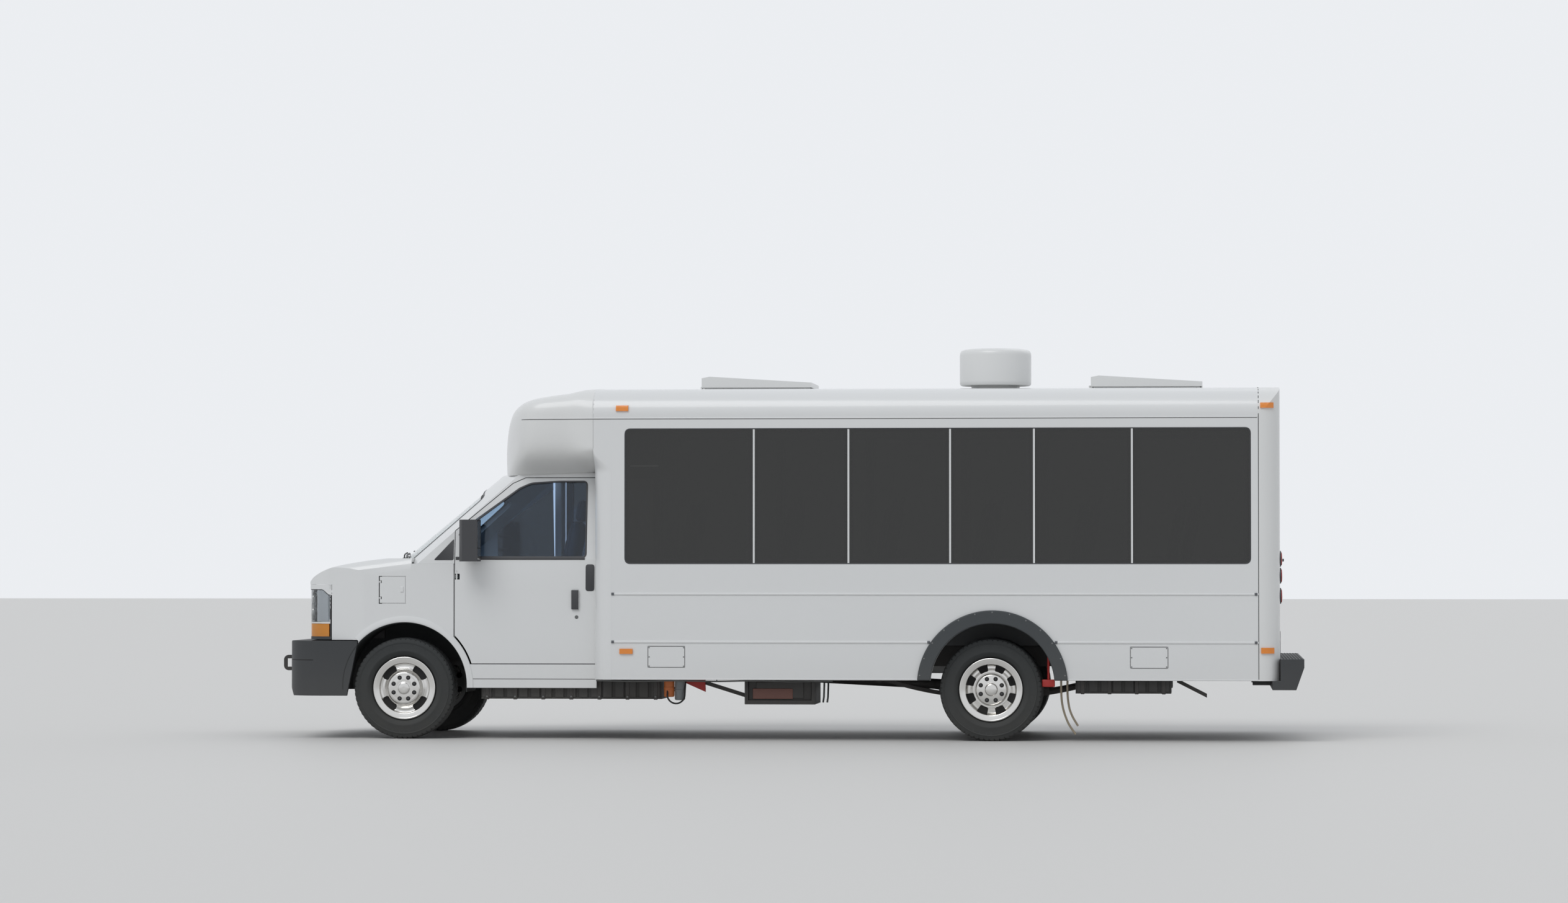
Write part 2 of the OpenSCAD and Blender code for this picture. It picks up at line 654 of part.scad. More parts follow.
// Power electronics under the hood, on a tray between the rails
module hood_electronics() color(steel) {
    block(axle_f + 160, axle_f + 660, -360, 360, 760, 1090);
    block(axle_f + 200, axle_f + 620, -(rail_y - 10), rail_y - 10, rail_top + seat_gap, 762);
    block(axle_f + 220, axle_f + 420, 400, 560, 762, 1010);
    rod_z(axle_f + 520, -460, 762, 980, 70);
}
flap_x0 = axle_f - 20;
flap_z0 = 1032;
flap_pin = [flap_x0 + flap_w - 13, cab_hw - 7];
flap_hinge_z = [flap_z0 + 45, flap_z0 + flap_h - 45];
module charging_flap() color(white) {
    difference() {
        union() {
            block(flap_x0 + 6, flap_pin[0], cab_hw - 14, cab_hw, flap_z0 + 6, flap_z0 + flap_h - 6);
            rod_z(flap_pin[0], flap_pin[1], flap_z0 + 6, flap_z0 + flap_h - 6, 7);
        }
        for (z = flap_hinge_z) {
            rod_z(flap_pin[0], flap_pin[1], z - 22, z + 22, 3 + pin_play);
            block(flap_pin[0] - 9, flap_pin[0] + 8, cab_hw - 15, cab_hw + 1, z - 10, z + 10);
        }
    }
    block(flap_x0 + 20, flap_x0 + 44, cab_hw - 1, cab_hw + 5, flap_z0 + 90, flap_z0 + 130);
}
module hood() color(white) {
    difference() {
        intersection() {
            nose_shell(hood_t);
            upright(hood_front_z, 1500) hood_area(hood_gap);
        }
        pair() {
            rod_y(hood_pin[0], hood_hinge_y - 32, hood_hinge_y + 32, hood_pin[1], pin_r + pin_play);
            block(hood_pin[0] - 30, hood_pin[0] + 14, hood_hinge_y - 14, hood_hinge_y + 14, 1300, 1400);
        }
    }
}
module grille() color([0.2, 0.2, 0.22]) {
    // Surround between the lamps
    intersection() {
        difference() {
            nose_solid(4);
            nose_solid(60);
        }
        block(axle_f + 560, axle_f + 900, -1000, 1000, 756, hood_front_z - 6);
        difference() {
            block(axle_f + 560, axle_f + 900, -1000, 1000, 750, 1500);
            block(axle_f + 500, axle_f + 900, -520, 520, 800, 900);
            block(axle_f + 500, axle_f + 900, -520, 520, 985, 1130);
            pair() block(axle_f + 500, axle_f + 900, lamp_y0, 1100, 700, 1145);
        }
    }
    for (z = [830, 860, 1015, 1045, 1075, 1105])
        block(nose_x - 62, nose_x - 40, -530, 530, z - 5, z + 5);
}
module headlamps() color([0.85, 0.88, 0.9]) {
    pair() intersection() {
        difference() {
            nose_solid(6);
            nose_solid(90);
        }
        block(axle_f + 570, axle_f + 900, lamp_y0 + seat_gap, 1000, 890, 1145 - seat_gap);
    }
}
module front_bumper_plan(t) {
    intersection() {
        union() {
            translate([axle_f + 300, -750]) square([606, 1500]);
            translate([axle_f + 300, -(1000 - t)]) square([356, 2000 - 2 * t]);
            for (s = [-1, 1]) translate([axle_f + 656, s * 750]) circle(250 - t);
            translate([axle_f + 600, -750]) square([400, 1500]);
        }
        translate([axle_f + 946 - 7000, 0]) circle(7000 - t, $fn = 360);
    }
}
module front_bumper() color([0.2, 0.21, 0.22]) {
    difference() {
        intersection() {
            difference() {
                upright(328, 749) front_bumper_plan(0);
                upright(300, 720) front_bumper_plan(40);
                upright(300, 800) front_bumper_plan(150);
            }
            across(-1100, 1100) polygon([[axle_f + 440, 328], [axle_f + 353, 749], [axle_f + 888, 749],
                [axle_f + 960, 700], [axle_f + 960, 520], [axle_f + 870, 328]]);
        }
        // Lower grille opening and the slots for the tow hooks
        block(axle_f + 700, axle_f + 1000, -330, 330, 400, 520);
        pair() block(axle_f + 700, axle_f + 1000, hook_y - 26, hook_y + 26, hook_z - 80, hook_z + 80);
    }
    // Carrier on the ends of the rails
    pair() block(rail_x1 + seat_gap, axle_f + 905, rail_y - 25, rail_y, 640, 706);
}
module cab_door() color(white) {
    difference() {
        intersection() {
            difference() {
                cab_solid(0);
                cab_solid(cab_t);
            }
            across(cab_hw - door_reach, 1100) difference() {
                door_area(door_gap * 0.75);
                window_area(0);
            }
        }
        for (z = door_hinge_z) {
            rod_z(door_pin[0], door_pin[1], z - 44, z + 44, pin_r + pin_play);
            block(door_pin[0] - 24, axle_f - 380, cab_hw - cab_t - 30, cab_hw - 2.5, z - 22, z + 22);
        }
    }
    // Pull handle
    block(axle_f + door_rear + 130, axle_f + door_rear + 183, cab_hw - 2, cab_hw + 16, 993, 1135);
}
module cab_door_glass() color([0.6, 0.75, 0.8, 0.4]) {
    intersection() {
        difference() {
            cab_solid(12);
            cab_solid(18);
        }
        across(cab_hw - 230, 1100) window_area(seat_gap);
    }
}
mirror_y = 1150;
module mirror_body() {
    intersection() {
        block(axle_f - 604, axle_f - 459, mirror_y - 95, mirror_y + 95, 1356, 1674);
        rod_z(axle_f - 604, mirror_y, 1300, 1700, 150);
    }
    for (z = [1450, 1560]) bar([axle_f - 419, 940, z], [axle_f - 510, mirror_y - 60, z], 13);
}
module mirror_left() color(black) difference() {
    mirror_body();
    cab_solid(-seat_gap);
}
module mirror_right() color(black) mirror([0, 1, 0]) difference() {
    mirror_body();
    cab_solid(-seat_gap);
}

// Fibreglass cap over the cab
cap_front = axle_f - 666;
cap_top = [[-1300, 2662], [-993, 2597], [-849, 2542], [-775, 2480], [-715, 2380], [-672, 2240],
    [-666, 2140], [-680, 2010]];
module cap_side(t) {
    offset(delta = -t) polygon(concat([[body_x1 - 1 - 2 * t, cab_roof_z + 2 - 2 * t],
        [body_x1 - 1 - 2 * t, roof_z + crown]], [[body_x1 + 20, roof_z + crown]],
        [for (p = smoothed(cap_top, 3)) [axle_f + p[0], p[1]]], [[axle_f - 690, 2010 - 2 * t]]));
}
module cap_plan(t) {
    intersection() {
        union() {
            translate([body_x1 - 10, -(hw - t)]) square([360, body_w - 2 * t]);
            translate([body_x1 - 10, -(hw - 380)]) square([900, body_w - 760]);
            for (s = [-1, 1]) translate([body_x1 + 350, s * (hw - 380)]) circle(380 - t);
        }
        translate([cap_front - 2600, 0]) circle(2600 - t, $fn = 360);
    }
}
// Half of the cap's lower section: distance from the middle and height
cap_edge = [[hw + 9, 3000], [hw + 9, cap_side_z + 60], [hw, cap_side_z], [hw - 60, 2130],
    [cab_hw - 40, 2030], [cab_hw - 60, 1990]];
module cap_section(t) {
    intersection() {
        body_section(t);
        polygon([for (s = [1, -1]) for (p = s > 0 ? cap_edge : [for (i = [5 : -1 : 0]) cap_edge[i]])
            [s * (p[0] - t), p[1] + (p[1] > 2500 ? 0 : t / 2)]]);
    }
}
module cap_solid(t) {
    intersection() {
        across(-hw - 1, hw + 1) cap_side(t);
        upright(1990, 2760) cap_plan(t);
        along_x(body_x1, axle_f) cap_section(t);
    }
}
module front_cap() color(white) {
    difference() {
        cap_solid(0);
        cap_solid(30);
        cab_solid(-seat_gap);
        // Room for the body's forward corner by the entry
        block(body_x1 - 1, right_x1 + 2, -hw - 5, -entry_in_y, 1900, cap_side_z + seat_gap);
        block(body_x1 - 1, cap_open_x, -(cab_hw - 150), cab_hw - 150, 1900, 2200);
    }
}

// Passenger body
pane_shares = [0, 0.2078, 0.3598, 0.5226, 0.6564, 0.8122, 1];
band_x1 = body_x1 - 243;
band_x0 = body_x0 + 221;
function pane_x(i) = band_x1 + (band_x0 - band_x1) * pane_shares[i];
first_right = axle_f - 1850;
// Pane outlines on one side: side is 1 for the driver's side and -1 for the other
module panes(side, g) {
    x1 = side < 0 ? first_right : band_x1;
    intersection() {
        round_rect(band_x0 + g, x1 - g, win_z0 + g, win_z1 - g, 40);
        for (i = [0 : 5]) {
            a = i == 0 ? x1 + 1 : pane_x(i) - pane_gap / 2 - g;
            b = i == 5 ? band_x0 - 1 : pane_x(i + 1) + pane_gap / 2 + g;
            translate([b, win_z0 - 1]) square([a - b, win_z1 - win_z0 + 2]);
        }
    }
}
flare_x = axle_r - 16;
flare_z = 420;
access_x = [axle_f - 2187, axle_f - 5829];
module access_panels(g) {
    for (x = access_x) translate([x + g, 554 + g]) square([282 - 2 * g, 160 - 2 * g]);
}
module wall_cuts() {
    across(hw - glass_t, hw + 50) children();
}
module side_wall(side) {
    difference() {
        union() {
            if (side > 0) {
                block(tail_x, body_x1 - corner_r, hw - wall_t, hw, skirt_z, seam_z);
                block(body_x1 - corner_r - 1, body_x1, hw - wall_t, hw, cap_side_z, seam_z);
            }
            else {
                block(tail_x, right_x1 - entry_corner_r, hw - wall_t, hw, skirt_z, cap_side_z);
                block(tail_x, body_x1, hw - wall_t, hw, cap_side_z - 1, seam_z);
            }
            r = side > 0 ? corner_r : entry_corner_r;
            cx = (side > 0 ? body_x1 : right_x1) - r;
            upright(skirt_z, cap_side_z) {
                intersection() {
                    difference() {
                        translate([cx, hw - r]) circle(r);
                        translate([cx, hw - r]) circle(r - wall_t);
                    }
                    translate([cx - 1, hw - r]) square(r + 1);
                }
                translate([cx + r - wall_t, cab_hw + 6]) square([wall_t, hw - r - cab_hw - 6]);
            }
            // Rub rails
            difference() {
                for (z = rails_z)
                    block(tail_x, (side > 0 ? body_x1 - corner_r : right_x1 - entry_corner_r), hw - 1, hw + 5,
                        z - 7, z + 7);
                rod_y(flare_x, hw, hw + 50, flare_z, flare_in_r + flare_w + 1);
            }
        }
        across(hw - glass_t, hw + 50) panes(side, 0);
        across(hw - 200, hw + 50) panes(side, pane_edge);
        rod_y(flare_x, hw - 200, hw + 50, flare_z, flare_in_r);
        if (side > 0)
            across(hw - 2, hw + 50) difference() {
                access_panels(-3);
                access_panels(3);
            }
        else
            block(entry_x0, entry_x1, hw - 200, hw + 50, 0, entry_z1);
    }
}
module side_wall_left() color(white) side_wall(1);
module side_wall_right() color(white) {
    mirror([0, 1, 0]) side_wall(-1);
    for (x = leaf_pins) rod_z(x, leaf_pin_y, entry_z1 - 25, entry_z1 + 1, pin_r + 1);
}
module side_glass() color([0.1, 0.12, 0.14, 0.7]) {
    across(hw - glass_t, hw) panes(1, seat_gap);
    mirror([0, 1, 0]) across(hw - glass_t, hw) panes(-1, seat_gap);
    // Vision window between the cab and the entry
    intersection() {
        difference() {
            cab_solid(12);
            cab_solid(18);
        }
        across(-1100, -(cab_hw - 230)) difference() {
            window_area(seat_gap);
            translate([body_x1, 0]) square([right_x1 + 2 - body_x1, 3000]);
        }
    }
}
hatch_x = [axle_f - 2224, axle_f - 5235];
module roof_panel() color(white) {
    difference() {
        union() {
            along_x(tail_x, body_x1) difference() {
                body_section(0);
                body_section(roof_t);
                translate([-2000, -300]) square([4000, seam_z + 300]);
            }
            // Curbs of the two hatches
            for (x = hatch_x)
                block(x - hatch_l + 20, x - 20, -hatch_w / 2 + 20, hatch_w / 2 - 20, roof_z, roof_z + crown + 12);
            for (x = hatch_x) pair() hatch_pin(x);
        }
        for (x = hatch_x)
            block(x - hatch_l + 60, x - 60, -hatch_w / 2 + 60, hatch_w / 2 - 60, roof_z - 200, roof_z + 200);
    }
}
lid_z = roof_z + crown + 20;
lid_pin = [12, roof_z + crown + 13];
lid_hinge_y = 200;
lid_barrel_r = 8;
// Pin and its two stands ahead of a hatch
module hatch_pin(x) {
    rod_y(x + lid_pin[0], lid_hinge_y - 40, lid_hinge_y + 40, lid_pin[1], pin_r);
    for (y = [lid_hinge_y - 40, lid_hinge_y + 22])
        block(x + lid_pin[0] - 6, x + lid_pin[0] + 6, y, y + 18, roof_z, lid_pin[1] + 5);
}
module hatch_lid(x) color(white) {
    difference() {
        across(-hatch_w / 2, hatch_w / 2) polygon([[x, lid_z - 12], [x, lid_z + 62], [x - 60, lid_z + 74],
            [x - hatch_l, lid_z + 26], [x - hatch_l, lid_z - 12]]);
        across(-hatch_w / 2 + 12, hatch_w / 2 - 12) polygon([[x - 12, lid_z - 13], [x - 12, lid_z + 50],
            [x - 62, lid_z + 60], [x - hatch_l + 12, lid_z + 13], [x - hatch_l + 12, lid_z - 13]]);
    }
    // Barrels round the roof's pins
    pair() difference() {
        union() {
            block(x - 6, x + lid_pin[0], lid_hinge_y - 20, lid_hinge_y + 20, lid_pin[1] - 3, lid_pin[1] + 7);
            rod_y(x + lid_pin[0], lid_hinge_y - 20, lid_hinge_y + 20, lid_pin[1], lid_barrel_r);
        }
        rod_y(x + lid_pin[0], lid_hinge_y - 21, lid_hinge_y + 21, lid_pin[1], pin_r + pin_play);
    }
}
module hatch_lid_front() hatch_lid(hatch_x[0]);
module hatch_lid_rear() hatch_lid(hatch_x[1]);
vent_x = axle_f - 4487;
vent_r = 278;
module roof_vent() color(white) {
    rod_z(vent_x, 0, roof_z + crown + seat_gap, roof_z + crown + 30, 190);
    rod_z(vent_x, 0, roof_z + crown + 20, roof_z + crown + 300, vent_r);
    translate([vent_x, 0, roof_z + crown + 299]) cylinder(r1 = vent_r - 2, r2 = vent_r - 40, h = 20);
}
rear_door_z = [800, 2240];
rear_glass = [[330, 1420, 2120], [330, 920, 1300]];
rear_pin = [body_x0 - 14, -rear_door_w / 2];
rear_hinge_z = [980, 1520, 2060];
barrel_r = 9;
module rear_wall() color(white) {
    difference() {
        body_form(body_x0, tail_x, 0);
        body_form(body_x0, tail_x + 1, wall_t);
        block(body_x0 - 1, tail_x + 1, -2000, 2000, -300, skirt_z);
        block(body_x0 - 10, body_x0 + 100, -rear_door_w / 2, rear_door_w / 2, rear_door_z[0], rear_door_z[1]);
    }
    // Pins, barrels and leaves of the emergency door's hinges
    for (z = rear_hinge_z) {
        rod_z(rear_pin[0], rear_pin[1], z - 45, z + 45, pin_r);
        for (d = [-45, 16]) {
            rod_z(rear_pin[0], rear_pin[1], z + d, z + d + 29, barrel_r);
            block(body_x0 - 5, body_x0 + 1, rear_pin[1] - 60, rear_pin[1] - 2, z + d, z + d + 29);
            block(rear_pin[0] - 2, body_x0 - 4, rear_pin[1] - 12, rear_pin[1] - 6, z + d, z + d + 29);
        }
    }
}
module rear_door_window(g) {
    for (w = rear_glass) round_rect(-w[0] + g, w[0] - g, w[1] + g, w[2] - g, 30);
}
module rear_door() color(white) {
    difference() {
        block(body_x0, body_x0 + wall_t - 5, -rear_door_w / 2 + door_gap, rear_door_w / 2 - door_gap,
            rear_door_z[0] + door_gap, rear_door_z[1] - door_gap);
        along_x(body_x0 - 10, body_x0 + glass_t) rear_door_window(0);
        along_x(body_x0 - 10, body_x0 + 100) rear_door_window(20);
    }
    for (z = rear_hinge_z) difference() {
        union() {
            rod_z(rear_pin[0], rear_pin[1], z - 15, z + 15, barrel_r);
            block(rear_pin[0] - 2, rear_pin[0] + 3, rear_pin[1], rear_pin[1] + 20, z - 15, z + 15);
            block(rear_pin[0] - 2, body_x0 + 1, rear_pin[1] + 16, rear_pin[1] + 60, z - 15, z + 15);
        }
        rod_z(rear_pin[0], rear_pin[1], z - 16, z + 16, pin_r + pin_play);
    }
}
module rear_door_glass() color([0.1, 0.12, 0.14, 0.7]) {
    along_x(body_x0, body_x0 + glass_t) rear_door_window(seat_gap);
}
house_l = 1010;
house_y = 560;
house_z = 930;
well_y = 704;
tread_t = 20;
floor_gap = wall_t + 2;
module floor_plan() {
    w = hw - floor_gap;
    r = tail_r - floor_gap;
    round_rect(body_x0 + floor_gap, body_x1 - floor_gap, -w, w, r);
    translate([body_x1 - 200, -(cab_hw - 10)]) square([200 - seat_gap, cab_w - 20]);
}
well_wall = 12;
module cabin_floor() color([0.35, 0.36, 0.38]) {
    difference() {
        union() {
            upright(floor_z - floor_t, floor_z) floor_plan();
            // Houses over the rear wheels
            pair() block(flare_x - house_l / 2, flare_x + house_l / 2, house_y, hw - floor_gap,
                floor_z - floor_t, house_z);
        }
        pair() block(flare_x - house_l / 2 + 20, flare_x + house_l / 2 - 20, house_y + 20, hw, 300, house_z - 20);
        block(entry_x0 - well_wall - seat_gap, entry_x1 + well_wall + seat_gap, -hw, -well_y + seat_gap,
            0, 2000);
    }
}
// Step well behind the entry: two end walls, a riser, the middle tread and its riser, the low tread
module step_well() color([0.35, 0.36, 0.38]) {
    for (x = [entry_x0 - well_wall, entry_x1])
        block(x, x + well_wall, -(hw - floor_gap), -well_y, entry_z0 - tread_t, floor_z);
    block(entry_x0 - 1, entry_x1 + 1, -well_y - tread_t, -well_y, 530, floor_z);
    block(entry_x0 - 1, entry_x1 + 1, -(well_y + 235), -well_y, 530, 550);
    block(entry_x0 - 1, entry_x1 + 1, -(well_y + 235), -(well_y + 215), entry_z0 - tread_t, 549);
    block(entry_x0 - 1, entry_x1 + 1, -(hw - floor_gap), -(well_y + 215), entry_z0 - tread_t, entry_z0);
    // Threshold with the lower pins of the entry leaves
    block(entry_x0 + 1, entry_x1 - 1, -hw + 4, -(hw - floor_gap) + 1, entry_z0 - tread_t, entry_z0 - 1);
    for (x = leaf_pins) rod_z(x, leaf_pin_y, entry_z0 - 2, entry_z0 + 24, pin_r + 1);
}

// Entry door: two leaves that swing out from their outer edges
leaf_w = entry_w / 2;
leaf_t = 35;
leaf_gap = 5;
leaf_pin_y = -hw + leaf_t / 2;
leaf_pins = [entry_x1 - leaf_gap - leaf_t / 2, entry_x0 + leaf_gap + leaf_t / 2];
module leaf_window(x0, x1, g) {
    round_rect(x0 + 60 + g, x1 - 60 - g, entry_z0 + 120 + g, 1130 - g, 30);
    round_rect(x0 + 60 + g, x1 - 60 - g, 1190 + g, entry_z1 - 100 - g, 30);
}
module entry_leaf(x0, x1, pin) color(black) {
    difference() {
        upright(entry_z0 + leaf_gap, entry_z1 - leaf_gap) {
            translate([pin > x0 + leaf_w / 2 ? x0 + leaf_gap : pin, -hw]) square([leaf_w - 2 * leaf_gap
                - leaf_t / 2, leaf_t]);
            translate([pin, leaf_pin_y]) circle(leaf_t / 2);
        }
        across(-hw - 1, -hw + leaf_t + 1) leaf_window(x0, x1, 0);
        rod_z(pin, leaf_pin_y, entry_z0, entry_z0 + 26, pin_r + 1 + pin_play);
        rod_z(pin, leaf_pin_y, entry_z1 - 27, entry_z1, pin_r + 1 + pin_play);
    }
}
module entry_glass(x0, x1) color([0.1, 0.12, 0.14, 0.7]) {
    across(-hw + 12, -hw + 18) leaf_window(x0, x1, seat_gap);
}
module entry_leaf_front() entry_leaf(entry_x1 - leaf_w, entry_x1, leaf_pins[0]);
module entry_leaf_rear() entry_leaf(entry_x0, entry_x0 + leaf_w, leaf_pins[1]);
module entry_glass_front() entry_glass(entry_x1 - leaf_w, entry_x1);
module entry_glass_rear() entry_glass(entry_x0, entry_x0 + leaf_w);

// Lamps
marker_t = 12;
module marker_lamps() color([1, 0.5, 0.1]) {
    // Each row: x of the front end, low z, length, height, x of the front end on the right side
    rows = [[axle_f - 1661, 2496, 94, 43, axle_f - 1661], [axle_r - 2025, 2508, 100, 40, axle_r - 2025],
        [axle_f - 1690, 656, 100, 39, entry_x0 - 120], [axle_r - 2028, 666, 99, 43, axle_r - 2028]];
    difference() {
        intersection() {
            body_form(body_x0 - marker_t, body_x1, -marker_t);
            for (m = rows) {
                block(m[0] - m[2], m[0], hw - 80, hw + 50, m[1], m[1] + m[3]);
                block(m[4] - m[2], m[4], -hw - 50, -hw + 80, m[1], m[1] + m[3]);
            }
        }
        body_form(body_x0 - marker_t, body_x1 + 10, -seat_gap);
    }
}
module tail_lamps() color([0.7, 0.05, 0.05]) {
    pair() {
        for (z = [1376, 1249, 1097]) rod_x(body_x0 - 14, body_x0 - seat_gap, hw - 190, z, 50);
    }
    block(body_x0 - 14, body_x0 - seat_gap, -60, 60, 2570, 2610);
}
module wheel_flares() color([0.2, 0.21, 0.22]) {
    pair() difference() {
        rod_y(flare_x, hw + seat_gap, hw + flare_t, flare_z, flare_in_r + flare_w);
        rod_y(flare_x, hw - 1, hw + flare_t + 1, flare_z, flare_in_r);
        block(flare_x - 900, flare_x + 900, hw - 1, hw + flare_t + 1, -300, skirt_z);
    }
}
bump_x = axle_r - rear_reach;
module rear_bumper() color([0.12, 0.12, 0.13]) {
    across(-hw + 10, hw - 10) polygon([[bump_x, 560], [bump_x, 624], [body_x0 - seat_gap, 624],
        [body_x0 - seat_gap, skirt_z - seat_gap], [body_x0 + 60, skirt_z - seat_gap], [body_x0 + 60, 392],
        [bump_x + 60, 392]]);
    // Brackets up to the frame rails
    pair() block(body_x0 + 55, body_x0 + 200, rail_y - rail_w, rail_y, 410, rails_bottom - seat_gap);
}

// Inside the cab and the cabin
module dashboard() color([0.25, 0.26, 0.28]) {
    across(-900, 900) polygon([[dash_x - 20 - seat_gap, 985], [dash_x - 20 - seat_gap, 1300],
        [axle_f - 330, 1290], [axle_f - 390, 1180], [axle_f - 330, 1010]]);
    // Steering column and wheel
    bar([axle_f - 330, 480, 1110], [axle_f - 450, 480, 1165], 32);
    translate([axle_f - 450, 480, 1165]) rotate([0, -65, 0]) {
        rotate_extrude() translate([185, 0]) circle(15, $fn = 24);
        cylinder(r = 60, h = 30, center = true);
        for (a = [0, 120, 240]) rotate([0, 0, a]) translate([50, -14, -8]) cube([130, 28, 16]);
    }
}
seat_x = axle_f - 700;
module driver_seat() color([0.3, 0.32, 0.35]) {
    block(seat_x - 400, seat_x - 60, 310, 650, cab_floor_z, 920);
    block(seat_x - 500, seat_x, 240, 720, 915, 1040);
    across(240, 720) polygon([[seat_x - 400, 1030], [seat_x - 520, 1030], [seat_x - 640, 1640], [seat_x - 540, 1650]]);
    across(350, 610) polygon([[seat_x - 548, 1660], [seat_x - 640, 1655], [seat_x - 665, 1820], [seat_x - 580, 1830]]);
    for (y = [420, 540]) bar([seat_x - 590, y, 1600], [seat_x - 605, y, 1700], 8);
}
seat_pitch = 760;
module bench(x, y0, y1) {
    block(x - 430, x, y0, y1, floor_z + 350, floor_z + 450);
    across(y0, y1) polygon([[x - 340, floor_z + 440], [x - 440, floor_z + 440], [x - 540, floor_z + 1050],
        [x - 460, floor_z + 1060]]);
    for (y = [y0 + 60, y1 - 100]) block(x - 340, x - 300, y, y + 40, floor_z, floor_z + 351);
}
module passenger_seats() color([0.25, 0.3, 0.4]) difference() {
    union() {
        for (i = [0 : 5]) bench(body_x1 - 260 - i * seat_pitch, 300, hw - wall_t - 40);
        for (i = [0 : 4]) mirror([0, 1, 0]) bench(body_x1 - 900 - i * seat_pitch, 300, hw - wall_t - 40);
    }
    pair() block(flare_x - house_l / 2 - 5, flare_x + house_l / 2 + 5, house_y - 5, hw, floor_z - 1,
        house_z + seat_gap);
}

// Wheels: outlines as radius and offset from the tyre's middle plane
module tyre_ring() {
    rotate_extrude($fn = 96) polygon([for (p = [[bead_r + seat_gap, -78], [ring_r + 2, -83], [262, -104],
        [300, -tyre_w / 2], [335, -tyre_w / 2], [372, -106], [tyre_r, -84], [tyre_r, 84], [372, 106],
        [335, tyre_w / 2], [300, tyre_w / 2], [262, 104], [ring_r + 2, 83], [bead_r + seat_gap, 78]]) p]);
}
// The rim's barrel with its bright outer ring; the disc stands at offset d
module rim_ring(d, bore, boss = 60) {
    difference() {
        union() {
            rotate_extrude() {
                translate([bead_r - 9, -88]) square([9, 174]);
                translate([bead_r - 9, -88]) square([26, 7]);
                polygon([[bead_r - 9, 80], [bead_r + 12, 85], [ring_r - 8, 86], [ring_r, 92], [ring_r - 6, 99],
                    [ring_r - 16, 98], [bead_r - 2, 92], [bead_r - 9, 92]]);
            }
            translate([0, 0, d - 12]) cylinder(r = bead_r - 5, h = 12);
            translate([0, 0, d - 60]) cylinder(r = 84, h = 60);
            translate([0, 0, d - 1]) cylinder(r1 = 84, r2 = 62, h = boss);
        }
        translate([0, 0, -200]) cylinder(r = bore, h = 200 + d + boss + (boss > 60 ? 1 : -20));
        for (i = [0 : hand_holes - 1]) rotate([0, 0, (i + 0.5) * 360 / hand_holes])
            translate([150, 0, d - 20]) cylinder(r = 24, h = 40);
    }
}
// Puts something upright on an axle: its z axis points to +Y
module on_axle(x, y) {
    translate([x, y, tyre_r]) rotate([-90, 0, 0]) children();
}
module tyre_front_left() color(black) on_axle(axle_f, track_front) tyre_ring();
module tyre_front_right() mirror([0, 1, 0]) tyre_front_left();
module rim_front_left() color([0.8, 0.8, 0.82]) on_axle(axle_f, track_front) rim_ring(52, spindle_r + 0.05);
module rim_front_right() mirror([0, 1, 0]) rim_front_left();
module tyres_rear_left() color(black) {
    for (i = [0, 1]) on_axle(axle_r, track_rear - i * twin_pitch) tyre_ring();
}
module tyres_rear_right() mirror([0, 1, 0]) tyres_rear_left();
module rims_rear_left() color([0.8, 0.8, 0.82]) {
    on_axle(axle_r, track_rear) rim_ring(-30, spindle_r + 0.05);
    on_axle(axle_r, track_rear - twin_pitch) rim_ring(60, spindle_r + 0.05, 160);
    on_axle(axle_r, track_rear - twin_pitch) translate([0, 0, 119]) difference() {
        cylinder(r = 84, h = twin_pitch - 200);
        translate([0, 0, -1]) cylinder(r = spindle_r + 0.05, h = twin_pitch);
    }
}
module rims_rear_right() mirror([0, 1, 0]) rims_rear_left();

// Drain hoses: a tube swept along hand-set points
hose_r = 8;
hose_front_pts = [[axle_r - 534, 1050, rail_top], [axle_r - 534, 1050, 660], [axle_r - 532, 1050, 600],
    [axle_r - 530, 1050, 540], [axle_r - 528, 1050, 480],
    [axle_r - 528, 1050, 420], [axle_r - 529, 1050, 360], [axle_r - 533, 1050, 300], [axle_r - 544, 1050, 240],
    [axle_r - 563, 1050, 180], [axle_r - 590, 1050, 120], [axle_r - 637, 1050, 52]];
hose_rear_pts = [[axle_r - 580, 1050, rail_top], [axle_r - 580, 1050, 660], [axle_r - 579, 1050, 600],
    [axle_r - 577, 1050, 540], [axle_r - 576, 1050, 480],
    [axle_r - 575, 1050, 420], [axle_r - 576, 1050, 360], [axle_r - 581, 1050, 300], [axle_r - 592, 1050, 240],
    [axle_r - 616, 1050, 180], [axle_r - 655, 1050, 115]];
hose_sides = 10;
function unit(v) = v / norm(v);
function tangent(p, i) = unit(p[min(i + 1, len(p) - 1)] - p[max(i - 1, 0)]);
// One ring of points round point i; the route stays in a plane of constant y
function ring(p, i, r) = let (t = tangent(p, i), n = [t[2], 0, -t[0]])
    [for (k = [0 : hose_sides - 1]) p[i] + r * cos(360 * k / hose_sides) * n
        + r * sin(360 * k / hose_sides) * [0, 1, 0]];
module tube(p, r) {
    n = len(p);
    m = hose_sides;
    polyhedron(points = [for (i = [0 : n - 1]) each ring(p, i, r)],
        faces = concat([[for (k = [0 : m - 1]) k]],
            [for (i = [0 : n - 2]) for (k = [0 : m - 1]) each
                [[i * m + k, (i + 1) * m + k, (i + 1) * m + (k + 1) % m],
                 [i * m + k, (i + 1) * m + (k + 1) % m, i * m + (k + 1) % m]]],
            [[for (k = [0 : m - 1]) n * m - 1 - k]]));
}
module drain_hose_front() color([0.6, 0.55, 0.45]) tube(hose_front_pts, hose_r);
module drain_hose_rear() color([0.6, 0.55, 0.45]) tube(hose_rear_pts, hose_r);

